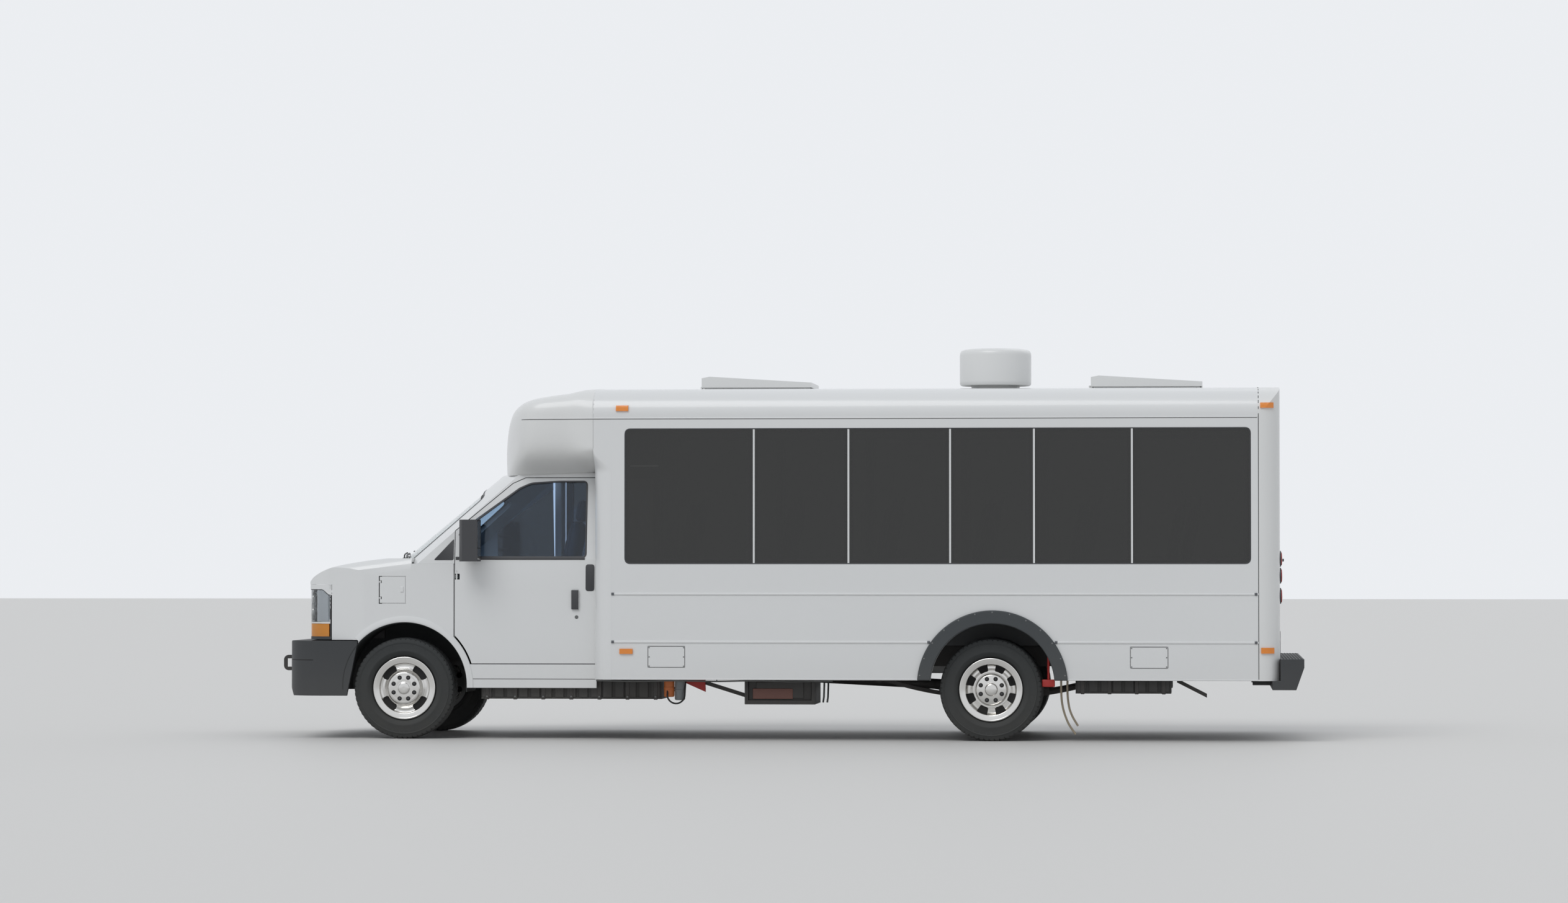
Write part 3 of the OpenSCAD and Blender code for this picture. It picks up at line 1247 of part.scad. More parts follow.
chassis_frame();
front_suspension();
knuckle_left();
knuckle_right();
rear_axle();
drive_motor();
hood_electronics();
battery_packs();
converter_box();
coolant_canisters();
underfloor_brackets();
cab_body();
front_fenders();
hood();
grille();
headlamps();
front_bumper();
windshield();
cab_door();
cab_door_glass();
mirror_left();
mirror_right();
charging_flap();
front_cap();
side_wall_left();
side_wall_right();
roof_panel();
rear_wall();
cabin_floor();
step_well();
side_glass();
rear_door();
rear_door_glass();
entry_leaf_front();
entry_leaf_rear();
entry_glass_front();
entry_glass_rear();
hatch_lid_front();
hatch_lid_rear();
roof_vent();
marker_lamps();
tail_lamps();
wheel_flares();
rear_bumper();
dashboard();
driver_seat();
passenger_seats();
tyre_front_left();
tyre_front_right();
tyres_rear_left();
tyres_rear_right();
rim_front_left();
rim_front_right();
rims_rear_left();
rims_rear_right();
drain_hose_front();
drain_hose_rear();
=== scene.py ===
# %% [markdown]
# # An airport passenger bus
# The bus is a van cab and chassis that carries a boxed passenger body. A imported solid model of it,
# with hinges and wheels that turn, is loaded first, and every surface made below sits on that model.
# Lengths in the shape functions are millimetres, as on a works drawing, and become metres at the end.

# %% The solid model
import json
import math

import bmesh
import bpy
import numpy as np
from mathutils import Matrix, Vector

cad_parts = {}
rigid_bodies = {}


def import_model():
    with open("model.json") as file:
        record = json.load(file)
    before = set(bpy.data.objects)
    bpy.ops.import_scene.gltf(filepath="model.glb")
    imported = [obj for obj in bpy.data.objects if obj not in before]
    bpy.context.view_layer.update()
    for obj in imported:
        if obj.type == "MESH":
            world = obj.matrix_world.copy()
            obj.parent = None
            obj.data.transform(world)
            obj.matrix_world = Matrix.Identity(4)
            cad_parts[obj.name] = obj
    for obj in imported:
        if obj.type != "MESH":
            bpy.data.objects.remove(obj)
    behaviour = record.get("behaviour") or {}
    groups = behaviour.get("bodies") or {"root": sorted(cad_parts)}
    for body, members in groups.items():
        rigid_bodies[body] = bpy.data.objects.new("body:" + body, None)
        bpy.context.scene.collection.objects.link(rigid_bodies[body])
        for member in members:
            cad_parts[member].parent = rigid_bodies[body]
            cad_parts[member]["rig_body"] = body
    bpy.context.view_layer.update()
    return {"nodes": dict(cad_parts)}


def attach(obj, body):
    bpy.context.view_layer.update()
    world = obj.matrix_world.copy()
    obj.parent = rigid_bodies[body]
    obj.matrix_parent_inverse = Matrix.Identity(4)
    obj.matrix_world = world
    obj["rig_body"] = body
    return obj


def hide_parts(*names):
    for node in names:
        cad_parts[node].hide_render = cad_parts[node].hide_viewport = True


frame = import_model()
nodes = frame["nodes"]

# %% [markdown]
# ## Camera
# The picture was taken from the driver's side with a long lens, almost square on, from about the
# height of a standing person. The place and the two angles were fitted to the wheels, which are
# known circles on a known wheelbase. The lens follows from the focal length in pixels.

# %% Camera
photo_width_px = 2527
focal_px = 7800
sensor_mm = 36
yaw, pitch = 0.0859, 0.02286
camera_place = (-3.168, 37.642, 1.351)
ahead = np.array([math.sin(yaw) * math.cos(pitch), -math.cos(yaw) * math.cos(pitch), math.sin(pitch)])
to_right = np.cross(ahead, [0, 0, 1])
to_right /= np.linalg.norm(to_right)
upward = np.cross(to_right, ahead)
camera = bpy.data.objects.new("camera", bpy.data.cameras.new("camera"))
camera.data.sensor_width = sensor_mm
camera.data.lens = sensor_mm * focal_px / photo_width_px
turn = Matrix([list(row) for row in np.stack([to_right, upward, -ahead], 1)])
camera.matrix_world = Matrix.Translation(camera_place) @ turn.to_4x4()
camera.data.clip_end = 500
bpy.context.scene.collection.objects.link(camera)
bpy.context.scene.camera = camera
print("lens", round(camera.data.lens, 1), "mm")

# %% [markdown]
# ## Forms and pieces
# A form is a list of corners and a list of faces. A grid of points is the most useful one: rows run
# along the shape and columns run across or around it. A piece joins several forms in one mesh,
# merges their doubles and turns the faces outwards.

# %% Forms
def grid_form(points, around=False, closed=False, caps=False):
    """Faces between neighbouring points of a grid. Around joins the last column to the first,
    closed joins the last row to the first, and caps closes both ends with one face each."""
    points = np.asarray(points, float)
    rows, columns = points.shape[:2]
    i, j = np.meshgrid(np.arange(rows - (not closed)), np.arange(columns - (not around)), indexing="ij")
    below, beside = (i + 1) % rows, (j + 1) % columns
    quads = np.stack([i * columns + j, below * columns + j, below * columns + beside,
                      i * columns + beside], -1).reshape(-1, 4)
    faces = quads.tolist()
    if caps:
        faces.append(list(range(columns))[::-1])
        faces.append(list(range((rows - 1) * columns, rows * columns)))
    return points.reshape(-1, 3), faces


def revolved(profile, steps, centre=(0, 0, 0), ripple=None):
    """A profile of (radius, y) turned about the Y axis: x = r sin a, z = r cos a, at even angles a.
    ripple(r, y, a) may give new radii and places for a tread or a row of pockets."""
    profile = np.asarray(profile, float)
    angle = np.linspace(0, 2 * np.pi, steps, endpoint=False)[None, :]
    radius = profile[:, :1] + 0 * angle
    place = profile[:, 1:2] + 0 * angle
    if ripple is not None:
        radius, place = ripple(radius, place, angle + 0 * radius)
    points = np.stack([radius * np.sin(angle), place, radius * np.cos(angle)], -1)
    return grid_form(points + np.asarray(centre), around=True)


print(len(revolved([(1, 0), (1, 1)], 8)[1]), "faces in a short pipe of 8 sides")

# %% Boxes, rods and tubes
def rounded_box(low, high, radius, corner_steps=3):
    """A box with rounded edges. A grid over a sphere is pushed out by half the box's size on each
    side, so point = centre + sign(direction) * (half size - radius) + radius * direction."""
    low, high = np.asarray(low, float), np.asarray(high, float)
    radius = min(radius, 0.499 * float((high - low).min()))
    quarter = np.linspace(0, np.pi / 2, corner_steps + 1)
    lon = np.concatenate([quarter + k * np.pi / 2 for k in range(4)])
    side_x = np.repeat([1, -1, -1, 1], corner_steps + 1)
    side_y = np.repeat([1, 1, -1, -1], corner_steps + 1)
    lat = np.concatenate([quarter - np.pi / 2, quarter])
    side_z = np.repeat([-1, 1], corner_steps + 1)
    direction = np.stack([np.cos(lat)[:, None] * np.cos(lon), np.cos(lat)[:, None] * np.sin(lon),
                          np.sin(lat)[:, None] + 0 * lon], -1)
    side = np.stack([side_x + 0 * lat[:, None], side_y + 0 * lat[:, None], side_z[:, None] + 0 * lon], -1)
    points = (low + high) / 2 + side * ((high - low) / 2 - radius) + radius * direction
    return grid_form(points, around=True, caps=True)


def rod(start, end, radius, sides):
    """A round bar between two points, with a chamfer of a seventh of its radius at each end."""
    start, end = np.asarray(start, float), np.asarray(end, float)
    along = (end - start) / np.linalg.norm(end - start)
    chamfer = min(radius / 7, 0.3 * float(np.linalg.norm(end - start)))
    stations = [(start, radius - chamfer), (start + along * chamfer, radius),
                (end - along * chamfer, radius), (end, radius - chamfer)]
    across = np.cross(along, [0, 0, 1] if abs(along[2]) < 0.9 else [1, 0, 0])
    across /= np.linalg.norm(across)
    other = np.cross(along, across)
    angle = np.linspace(0, 2 * np.pi, sides, endpoint=False)[:, None]
    ring = np.cos(angle) * across + np.sin(angle) * other
    return grid_form([place + size * ring for place, size in stations], around=True, caps=True)


def tube(path, radius, sides):
    """A round section carried along a path. Each ring is square to the path, and its first
    direction is carried on from the ring before, so that the tube doesn't twist."""
    path = np.asarray(path, float)
    along = np.gradient(path, axis=0)
    along = unit(along)
    across = np.cross(along[0], [0, 1, 0] if abs(along[0][1]) < 0.9 else [1, 0, 0])
    angle = np.linspace(0, 2 * np.pi, sides, endpoint=False)[:, None]
    rings = []
    for place, way in zip(path, along):
        across = across - way * (across @ way)
        across /= np.linalg.norm(across)
        rings.append(place + radius * (np.cos(angle) * across + np.sin(angle) * np.cross(way, across)))
    return grid_form(rings, around=True, caps=True)


print(len(rounded_box((0, 0, 0), (9, 9, 9), 2)[0]), "corners in a rounded box")

# %% Paths, turns and shifts
def smooth_path(points, steps):
    """A path through the points. Between two of them it is a cubic whose slope at each point is
    half the step between its neighbours."""
    p = np.asarray(points, float)
    slope = np.gradient(p, axis=0)
    t = np.linspace(0, 1, steps, endpoint=False)[:, None, None]
    a, b, m, n = p[:-1], p[1:], slope[:-1], slope[1:]
    curve = ((2 * t**3 - 3 * t**2 + 1) * a + (t**3 - 2 * t**2 + t) * m
             + (3 * t**2 - 2 * t**3) * b + (t**3 - t**2) * n)
    return np.vstack([curve.transpose(1, 0, 2).reshape(-1, p.shape[1]), p[-1:]])


def turned(form, degrees, axis="Y"):
    """The form turned about an axis through the origin."""
    spin = np.array(Matrix.Rotation(math.radians(degrees), 3, axis))
    return form[0] @ spin.T, form[1]


def mirrored(form):
    """The form on the other side of the bus: y changes sign and the faces turn over."""
    return form[0] * [1, -1, 1], [face[::-1] for face in form[1]]


def moved(form, shift):
    """The form with every corner shifted."""
    return form[0] + np.asarray(shift, float), form[1]


print("a path bends through", smooth_path([(0, 0), (10, 0), (10, 10)], 2).round(1).tolist())

# %% Points and sides
def xyz(x, y, z):
    """Points from three coordinates, each an array or one number for all of them."""
    return np.stack(np.broadcast_arrays(*(np.asarray(value, float) for value in (x, y, z))), -1)


def unit(vectors):
    """Each vector divided by its own length."""
    return vectors / np.linalg.norm(vectors, axis=-1, keepdims=True)


def rectangle(a0, a1, b0, b1):
    """The four corners (a, b) of a rectangle, in order round it."""
    return [(a0, b0), (a1, b0), (a1, b1), (a0, b1)]


def side_box(low, high, side, radius):
    """A rounded box on one side of the bus, whose y counts outwards from the middle."""
    y0, y1 = sorted((side * low[1], side * high[1]))
    return rounded_box((low[0], y0, low[2]), (high[0], y1, high[2]), radius)


print("corners of a rectangle:", rectangle(0, 2, 0, 1))

# %% Pieces
def piece(name, forms, made, body="root", stands_for=(), smooth_deg=35):
    """One object from forms in millimetres, smooth except at edges sharper than smooth_deg."""
    corners, faces, start = [], [], 0
    for points, form_faces in forms:
        corners.append(points)
        faces += [[k + start for k in face] for face in form_faces]
        start += len(points)
    mesh = bpy.data.meshes.new(name)
    mesh.from_pydata(np.vstack(corners) * 0.001, [], faces)
    shell = bmesh.new()
    shell.from_mesh(mesh)
    bmesh.ops.remove_doubles(shell, verts=shell.verts, dist=1e-6)
    bmesh.ops.recalc_face_normals(shell, faces=shell.faces)
    shell.to_mesh(mesh)
    shell.free()
    mesh.shade_smooth()
    mesh.set_sharp_from_angle(angle=math.radians(smooth_deg))
    mesh.materials.append(made)
    thing = bpy.data.objects.new(name, mesh)
    bpy.context.scene.collection.objects.link(thing)
    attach(thing, body)
    if stands_for:
        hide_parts(*stands_for)
    return thing


# %% [markdown]
# ## Finishes
# Paint, plastic and rubber on a bus in service are never one flat colour. Three effects are shared
# by all of them: slow patches of tone, a fine grain, and road dust that thins out with height. They
# are one node group, and each material sets its own amounts.

# %% Surface group
def add(tree, kind, values=(), **settings):
    """A node with its settings, and plain values or links for its sockets."""
    node = tree.nodes.new("ShaderNode" + kind)
    for key, value in settings.items():
        setattr(node, key, value)
    for key, value in dict(values).items():
        if isinstance(value, bpy.types.NodeSocket):
            tree.links.new(value, node.inputs[key])
        else:
            node.inputs[key].default_value = value
    return node


def calc(tree, operation, first, second, **settings):
    """The result of a sum, a product or another operation on two values."""
    return add(tree, "Math", {0: first, 1: second}, operation=operation, **settings).outputs[0]


road_dust = (0.30, 0.27, 0.23, 1)


def surface_group():
    """Tone = colour * (1 + patches), then dust is mixed in where the height is low."""
    group = bpy.data.node_groups.new("worn surface", "ShaderNodeTree")
    for way, labels in (("INPUT", ("Colour", "Patch scale", "Patch amount", "Grain scale", "Roughness",
                                   "Dust top", "Dust amount")),
                        ("OUTPUT", ("Colour", "Roughness", "Height"))):
        for label in labels:
            kind = "NodeSocketColor" if label == "Colour" else "NodeSocketFloat"
            group.interface.new_socket(label, in_out=way, socket_type=kind)
    given = group.nodes.new("NodeGroupInput").outputs
    out = group.nodes.new("NodeGroupOutput").inputs
    place = add(group, "TexCoord").outputs["Object"]
    patches = add(group, "TexNoise", {"Vector": place, "Scale": given["Patch scale"], "Detail": 4.0})
    grain = add(group, "TexNoise", {"Vector": place, "Scale": given["Grain scale"], "Detail": 3.0})
    patches = patches.outputs["Fac"]
    swing = calc(group, "MULTIPLY", calc(group, "SUBTRACT", patches, 0.5), given["Patch amount"])
    tone = calc(group, "ADD", swing, 1.0)
    toned = add(group, "VectorMath", {0: given["Colour"], "Scale": tone}, operation="SCALE")
    height = add(group, "SeparateXYZ", {0: place}).outputs["Z"]
    share = calc(group, "DIVIDE", height, given["Dust top"])
    low = add(group, "MapRange", {"Value": share, "To Min": 1.0, "To Max": 0.0},
              interpolation_type="SMOOTHSTEP").outputs[0]
    broken = add(group, "MapRange", {"Value": patches, "From Min": 0.3, "From Max": 0.7,
                                     "To Min": 0.5, "To Max": 1.0}).outputs[0]
    dust = calc(group, "MULTIPLY", calc(group, "MULTIPLY", low, given["Dust amount"]), broken)
    mixed = add(group, "Mix", {"Factor": dust, "A": toned.outputs[0], "B": road_dust}, data_type="RGBA")
    rough = calc(group, "ADD", calc(group, "ADD", dust, given["Roughness"]), swing, use_clamp=True)
    group.links.new(mixed.outputs["Result"], out["Colour"])
    group.links.new(rough, out["Roughness"])
    group.links.new(grain.outputs["Fac"], out["Height"])
    return group


worn = surface_group()
print(len(worn.nodes), "nodes in the shared group")

# %% One finish
def finish(name, colour, rough, metal=0.0, coat=0.0, patch=(1.5, 0.05), grain=(300.0, 0.02),
           dust=(0.9, 0.1), transmission=0.0, ior=1.5):
    """A material on the shared group. Grain is (scale per metre, bump strength); dust is (height in
    metres where it ends, amount at the ground)."""
    made = bpy.data.materials.new(name)
    made.use_nodes = True
    tree = made.node_tree
    shader = tree.nodes["Principled BSDF"]
    group = tree.nodes.new("ShaderNodeGroup")
    group.node_tree = worn
    for label, value in (("Colour", (*colour, 1)), ("Patch scale", patch[0]), ("Patch amount", patch[1]),
                         ("Grain scale", grain[0]), ("Roughness", rough), ("Dust top", dust[0]),
                         ("Dust amount", dust[1])):
        group.inputs[label].default_value = value
    bump = add(tree, "Bump", {"Height": group.outputs["Height"], "Strength": grain[1], "Distance": 0.001})
    tree.links.new(group.outputs["Colour"], shader.inputs["Base Color"])
    tree.links.new(group.outputs["Roughness"], shader.inputs["Roughness"])
    tree.links.new(bump.outputs["Normal"], shader.inputs["Normal"])
    for label, value in (("Metallic", metal), ("Coat Weight", coat), ("Coat Roughness", 0.04),
                         ("Transmission Weight", transmission), ("IOR", ior)):
        shader.inputs[label].default_value = value
    made.diffuse_color = (*colour, 1)
    return made


# %% The finishes of the bus
white_paint = finish("white paint", (0.70, 0.705, 0.70), 0.32, coat=0.35, patch=(0.8, 0.035),
                     grain=(60, 0.03), dust=(0.8, 0.16))
moulded_white = finish("moulded white shell", (0.71, 0.712, 0.70), 0.36, coat=0.25, patch=(1.3, 0.05),
                       grain=(90, 0.05), dust=(0.8, 0.12))
chassis_black = finish("satin black chassis paint", (0.018, 0.018, 0.019), 0.45, patch=(5, 0.5),
                       grain=(240, 0.12), dust=(1.1, 0.22))
cast_steel = finish("dark cast steel", (0.055, 0.055, 0.058), 0.55, metal=0.6, patch=(9, 0.5),
                    grain=(420, 0.3), dust=(1.0, 0.3))
pack_black = finish("black powder coat", (0.022, 0.023, 0.025), 0.5, patch=(4, 0.3),
                    grain=(900, 0.12), dust=(0.9, 0.25))
canister_paint = finish("orange canister paint", (0.62, 0.16, 0.03), 0.38, patch=(8, 0.2),
                        grain=(300, 0.06), dust=(0.9, 0.15))
red_paint = finish("red bracket paint", (0.45, 0.015, 0.012), 0.42, patch=(8, 0.2), grain=(300, 0.06),
                   dust=(0.9, 0.15))
bumper_plastic = finish("grained dark plastic", (0.033, 0.036, 0.039), 0.55, patch=(3, 0.18),
                        grain=(700, 0.28), dust=(0.8, 0.12))
grille_plastic = finish("dark grey grille plastic", (0.045, 0.047, 0.05), 0.42, patch=(4, 0.1),
                        grain=(600, 0.1), dust=(0.9, 0.12))
mirror_plastic = finish("black mirror plastic", (0.045, 0.046, 0.05), 0.5, patch=(6, 0.12),
                        grain=(900, 0.2), dust=(0.9, 0.02))
flare_plastic = finish("dark flare plastic", (0.040, 0.046, 0.050), 0.55, patch=(4, 0.15),
                       grain=(800, 0.22), dust=(1.0, 0.14))
floor_covering = finish("grey floor covering", (0.14, 0.145, 0.15), 0.7, patch=(5, 0.15),
                        grain=(500, 0.4), dust=(1.0, 0.1))
door_frame_paint = finish("black door frame paint", (0.022, 0.022, 0.024), 0.35, coat=0.2,
                          patch=(3, 0.1), grain=(200, 0.03), dust=(0.9, 0.1))
trim_plastic = finish("grey moulded trim", (0.10, 0.105, 0.115), 0.6, patch=(5, 0.12),
                      grain=(800, 0.3), dust=(0.9, 0.03))
tyre_rubber = finish("black tyre rubber", (0.020, 0.023, 0.024), 0.72, patch=(7, 0.25),
                     grain=(600, 0.25), dust=(0.9, 0.10))
bright_steel = finish("bright stainless steel", (0.70, 0.69, 0.67), 0.13, metal=1.0, patch=(9, 0.10),
                      grain=(300, 0.01), dust=(1.0, 0.05))
dull_steel = finish("dull wheel steel", (0.16, 0.165, 0.165), 0.38, metal=0.85, patch=(9, 0.3),
                    grain=(400, 0.1), dust=(1.0, 0.15))
# Near black: painted shade in the lug holes, behind the wheel openings, in the cowl's slots and in the
# bumper's groove, and the real black frit of the windshield's ceramic band.
painted_shade_and_frit = finish("painted shade and black frit", (0.008, 0.008, 0.009), 0.8, patch=(9, 0.3), grain=(300, 0.1),
                   dust=(0.9, 0.05))
print(len(bpy.data.materials), "materials so far")

# %% Lenses, glass and hose
amber_lens = finish("amber lens", (0.95, 0.30, 0.02), 0.12, coat=0.6, patch=(20, 0.1),
                    grain=(500, 0.08), dust=(0.9, 0.02), transmission=0.25)
red_lens = finish("red lens", (0.52, 0.015, 0.012), 0.14, coat=0.6, patch=(20, 0.1),
                  grain=(500, 0.08), dust=(0.9, 0.02), transmission=0.25)
clear_lens = finish("clear lamp lens", (0.93, 0.95, 0.96), 0.03, patch=(5, 0.02), grain=(200, 0.01),
                    dust=(0.9, 0.0), transmission=1.0, ior=1.45)
cab_glass = finish("cab window glass", (0.80, 0.88, 0.88), 0.0, patch=(2, 0.02), grain=(100, 0.0),
                   dust=(0.9, 0.0), transmission=1.0, ior=1.45)
door_glass = finish("blue tinted door glass", (0.42, 0.58, 0.82), 0.0, patch=(2, 0.02), grain=(100, 0.0),
                    dust=(0.9, 0.0), transmission=1.0, ior=1.45)
dark_glass = finish("dark tinted glass", (0.060, 0.060, 0.055), 0.03, patch=(1.2, 0.05),
                    grain=(3, 0.01), dust=(0.9, 0.0), transmission=0.75, ior=1.52)
hose_rubber = finish("tan hose", (0.30, 0.25, 0.18), 0.6, patch=(30, 0.25), grain=(700, 0.15),
                     dust=(0.9, 0.1))
# Dark joints round panels and seams, and the painted shadow strip under the roof seam rail.
seam_dark_and_painted_shadow = finish("dark seam sealant and painted shadow", (0.09, 0.09, 0.09), 0.7, patch=(10, 0.2), grain=(500, 0.1),
                   dust=(0.9, 0.1))
print(len(bpy.data.materials), "materials now")

# %% [markdown]
# ## Drain hoses
# Two thin rubber hoses hang behind the rear wheel. They lead the condensate of the air conditioner
# to the road. Each is 16 mm thick, comes out of the floor beside the frame, hangs straight down and
# trails to the rear at its cut end. A round section carried along the route of the solid gives it.

# %% Hoses
axle_front, axle_rear = 2908.0, -1588.0
hose_radius, hose_y = 8.0, 1050.0
shared_heights = [712, 660, 600, 540, 480, 420, 360, 300, 240, 180]
hose_routes = {
    "drain_hose_front": ([-534, -534, -532, -530, -528, -528, -529, -533, -544, -563, -590, -637], [120, 52]),
    "drain_hose_rear": ([-580, -580, -579, -577, -576, -575, -576, -581, -592, -616, -655], [115]),
}
for name, (back, end_heights) in hose_routes.items():
    line = smooth_path(xyz(axle_rear + np.array(back, float), hose_y, shared_heights + end_heights), 3)
    hose = piece(name + "_rubber", [tube(line, hose_radius, 14)], hose_rubber,
                 stands_for=[name])

# %% [markdown]
# ## Tyres
# The tyre is one closed profile turned about its axle. Grooves are notches in the profile, and the
# shoulder blocks come from a ripple: where the angle falls in a groove, the radius is lowered. The
# sidewall has the two raised rings and the fine ribs of a light truck tyre, and no lettering.

# %% Tyre form
wheel_centre_z = 387.0
tread_steps = 360
blocks_round = 60
groove_half, groove_depth = 7, 9


def tyre_profile():
    """(radius, y) from the outer bead over the tread to the inner bead and back inside."""
    side = [(207, 77), (224, 79), (242, 83), (246, 90), (250, 99), (258, 109), (268, 116), (280, 121.5),
            (283, 122.5), (289, 122.5), (292, 121.5), (318, 120.5), (340, 118), (343, 119), (348, 119),
            (351, 116), (366, 111), (378, 106)]
    tread = []
    for middle in (88, 30, -30, -88):
        crown = 387 - 4.5 * (abs(middle) / 106) ** 3
        low, shift = crown - groove_depth, groove_half - 3
        tread += [(crown, middle + groove_half), (low, middle + shift), (low, middle - shift),
                  (crown, middle - groove_half)]
    other_side = [(r, -y) for r, y in side[::-1]]
    inside = [(207, -70), (246, -74), (264, -98), (330, -104), (366, -80), (372, 0), (366, 80),
              (330, 104), (264, 98), (246, 74), (207, 70)]
    return side + tread + other_side + inside + [side[0]]


def tread_ripple(radius, place, angle):
    """Shoulder blocks: 8 mm lower where the angle is in a cross groove and |y| is past 94 mm.
    Ribs between the centre grooves get shallow cuts at a slant. The sidewall's upper ring is ribbed."""
    turn_part = angle * blocks_round / (2 * np.pi)
    slant = (turn_part + place * 0.004) % 1
    shoulder = (radius > 371) & (np.abs(place) > 94)
    rib = (radius > 383) & (np.abs(place) < 84)
    radius = radius - 8 * (shoulder & (slant < 0.24)) - 3.5 * (rib & (slant < 0.13))
    fine = (radius > 341) & (radius < 350) & (np.abs(place) > 118)
    place = place + np.sign(place) * 0.9 * (fine & (turn_part * 4 % 1 < 0.5))
    return radius, place


def tyre(axle_x, middle_y):
    """One tyre whose middle is at y."""
    return revolved(tyre_profile(), tread_steps, (axle_x, middle_y, wheel_centre_z), tread_ripple)


print(len(tyre_profile()), "points in the tyre's profile")

# %% [markdown]
# ## Four axle ends
# A front wheel stands alone and a rear wheel is a pair, of which both turn as one body. The list gives
# each axle end its side and the y of its tyres' middles, so that one loop makes all six tyres.

# %% Tyres on their axles
wheels = [("front_left", axle_front, 1, [860.0]), ("front_right", axle_front, -1, [860.0]),
          ("rear_left", axle_rear, 1, [1006.0, 730.0]), ("rear_right", axle_rear, -1, [1006.0, 730.0])]
for place_name, axle_x, side, middles in wheels:
    plural = "s" if len(middles) > 1 else ""
    piece("tyre_tread_" + place_name, [tyre(axle_x, side * y) for y in middles], tyre_rubber,
          body=f"wheel{plural}_{place_name}", stands_for=[f"tyre{plural}_{place_name}"],
          smooth_deg=28)

# %% [markdown]
# ## Wheels
# A steel wheel hides behind a bright pressed liner. At the front the liner bulges out to a hub plate
# with eight lug holes and four long openings. At the rear it is dished in, because the wheel is
# turned round to carry a twin. Both are profiles turned about the axle, with the openings pressed in
# by a ripple. Each lug hole is a dark disc of painted shade, and a dark skin of painted shade lies just
# behind the openings, so that an opening reads as a hole.

# %% Wheel forms
lug_count = 8
lug_circle = 86.0
opening_corner, opening_edge = 12, 4


def ring_plate(profile, centre, side, steps, ripple=None):
    """A profile of (radius, y outwards) turned into a plate, mirrored for the other side."""
    flipped = [(r, side * y) for r, y in profile]
    return revolved(flipped, steps, centre, ripple)


def pressed_openings(r0, r1, count, half_angle, depth):
    """Ripple that pushes the surface in by depth over count openings between radii r0 and r1.
    The edge is a smooth step: t * t * (3 - 2 t) over 4 mm."""
    def ripple(radius, place, angle):
        """The same radii, with the places pushed in at the openings."""
        part = angle * count / (2 * np.pi) % 1 - 0.5
        arc = np.abs(part) * 2 * np.pi / count
        middle, reach = (r0 + r1) / 2, (r1 - r0) / 2
        across = np.maximum(np.abs(radius - middle) - reach + opening_corner, 0)
        along = np.maximum((arc - half_angle) * middle + opening_corner, 0)
        edge = np.clip((opening_corner - np.hypot(across, along)) / opening_edge, 0, 1)
        push = edge * edge * (3 - 2 * edge) * depth
        return radius, place - push
    return ripple


def dense(profile, step=3.0):
    """The same profile with points at most step apart, so that a ripple has something to move."""
    p = np.asarray(profile, float)
    rows = [p[:1]]
    for a, b in zip(p[:-1], p[1:]):
        count = max(1, int(np.ceil(np.linalg.norm(b - a) / step)))
        rows.append(a + (b - a) * np.linspace(0, 1, count + 1)[1:, None])
    return np.vstack(rows)


print("openings have corners of", opening_corner, "mm")

# %% Wheel profiles
outer_lip = [(240.5, 92), (240.5, 98), (237, 101), (232, 101.5), (227, 99.5), (221, 99), (212, 97),
             (203, 94.5), (195.5, 93), (193, 90)]
front_liner = outer_lip + [(191.5, 80), (190, 72), (186, 67), (172, 64), (156, 68), (142, 78), (130, 92),
                           (124, 104), (118, 110), (108, 112), (96, 112), (84, 113), (72, 114), (60, 114),
                           (48, 114), (44, 116), (40, 122), (30, 125), (15, 126), (0.1, 126)]
rear_liner = outer_lip + [(192, 70), (190, 20), (188, -12), (184, -22), (176, -27), (160, -26), (146, -22),
                          (136, -20), (128, -20), (121, -22)]
rear_hub = [(119, -34), (119, 18), (116, 26), (108, 31), (60, 32), (50, 33), (47, 39), (44, 44), (38, 48),
            (20, 50), (0.1, 50)]
# A lug hole is a dark disc of painted shade round its nut.
lug_hole = [(17, -2), (17, 1.2), (16, 1.8), (0.1, 1.8)]


def painted_shade_ring(y):
    """A painted shade skin behind the openings: a dark flat ring 0.8 mm thick whose face is at y."""
    return [(189, y), (138, y), (138, y - 0.8), (189, y - 0.8), (189, y)]


def dome(centre, radius, height, side, steps):
    """A low dome: y = height * sqrt(1 - (r / radius)^2)."""
    r = radius * np.sin(np.linspace(np.pi / 2, 0.02, 7))
    y = height * np.sqrt(np.maximum(0, 1 - (r / radius) ** 2))
    return ring_plate(np.stack([r, y], 1), centre, side, steps)


def signed(ripple, side):
    """The same ripple for a plate that faces the other way."""
    return lambda radius, place, angle: (radius, side * ripple(radius, side * place, angle)[1])


print(len(front_liner), "and", len(rear_liner), "points in the liners' profiles")

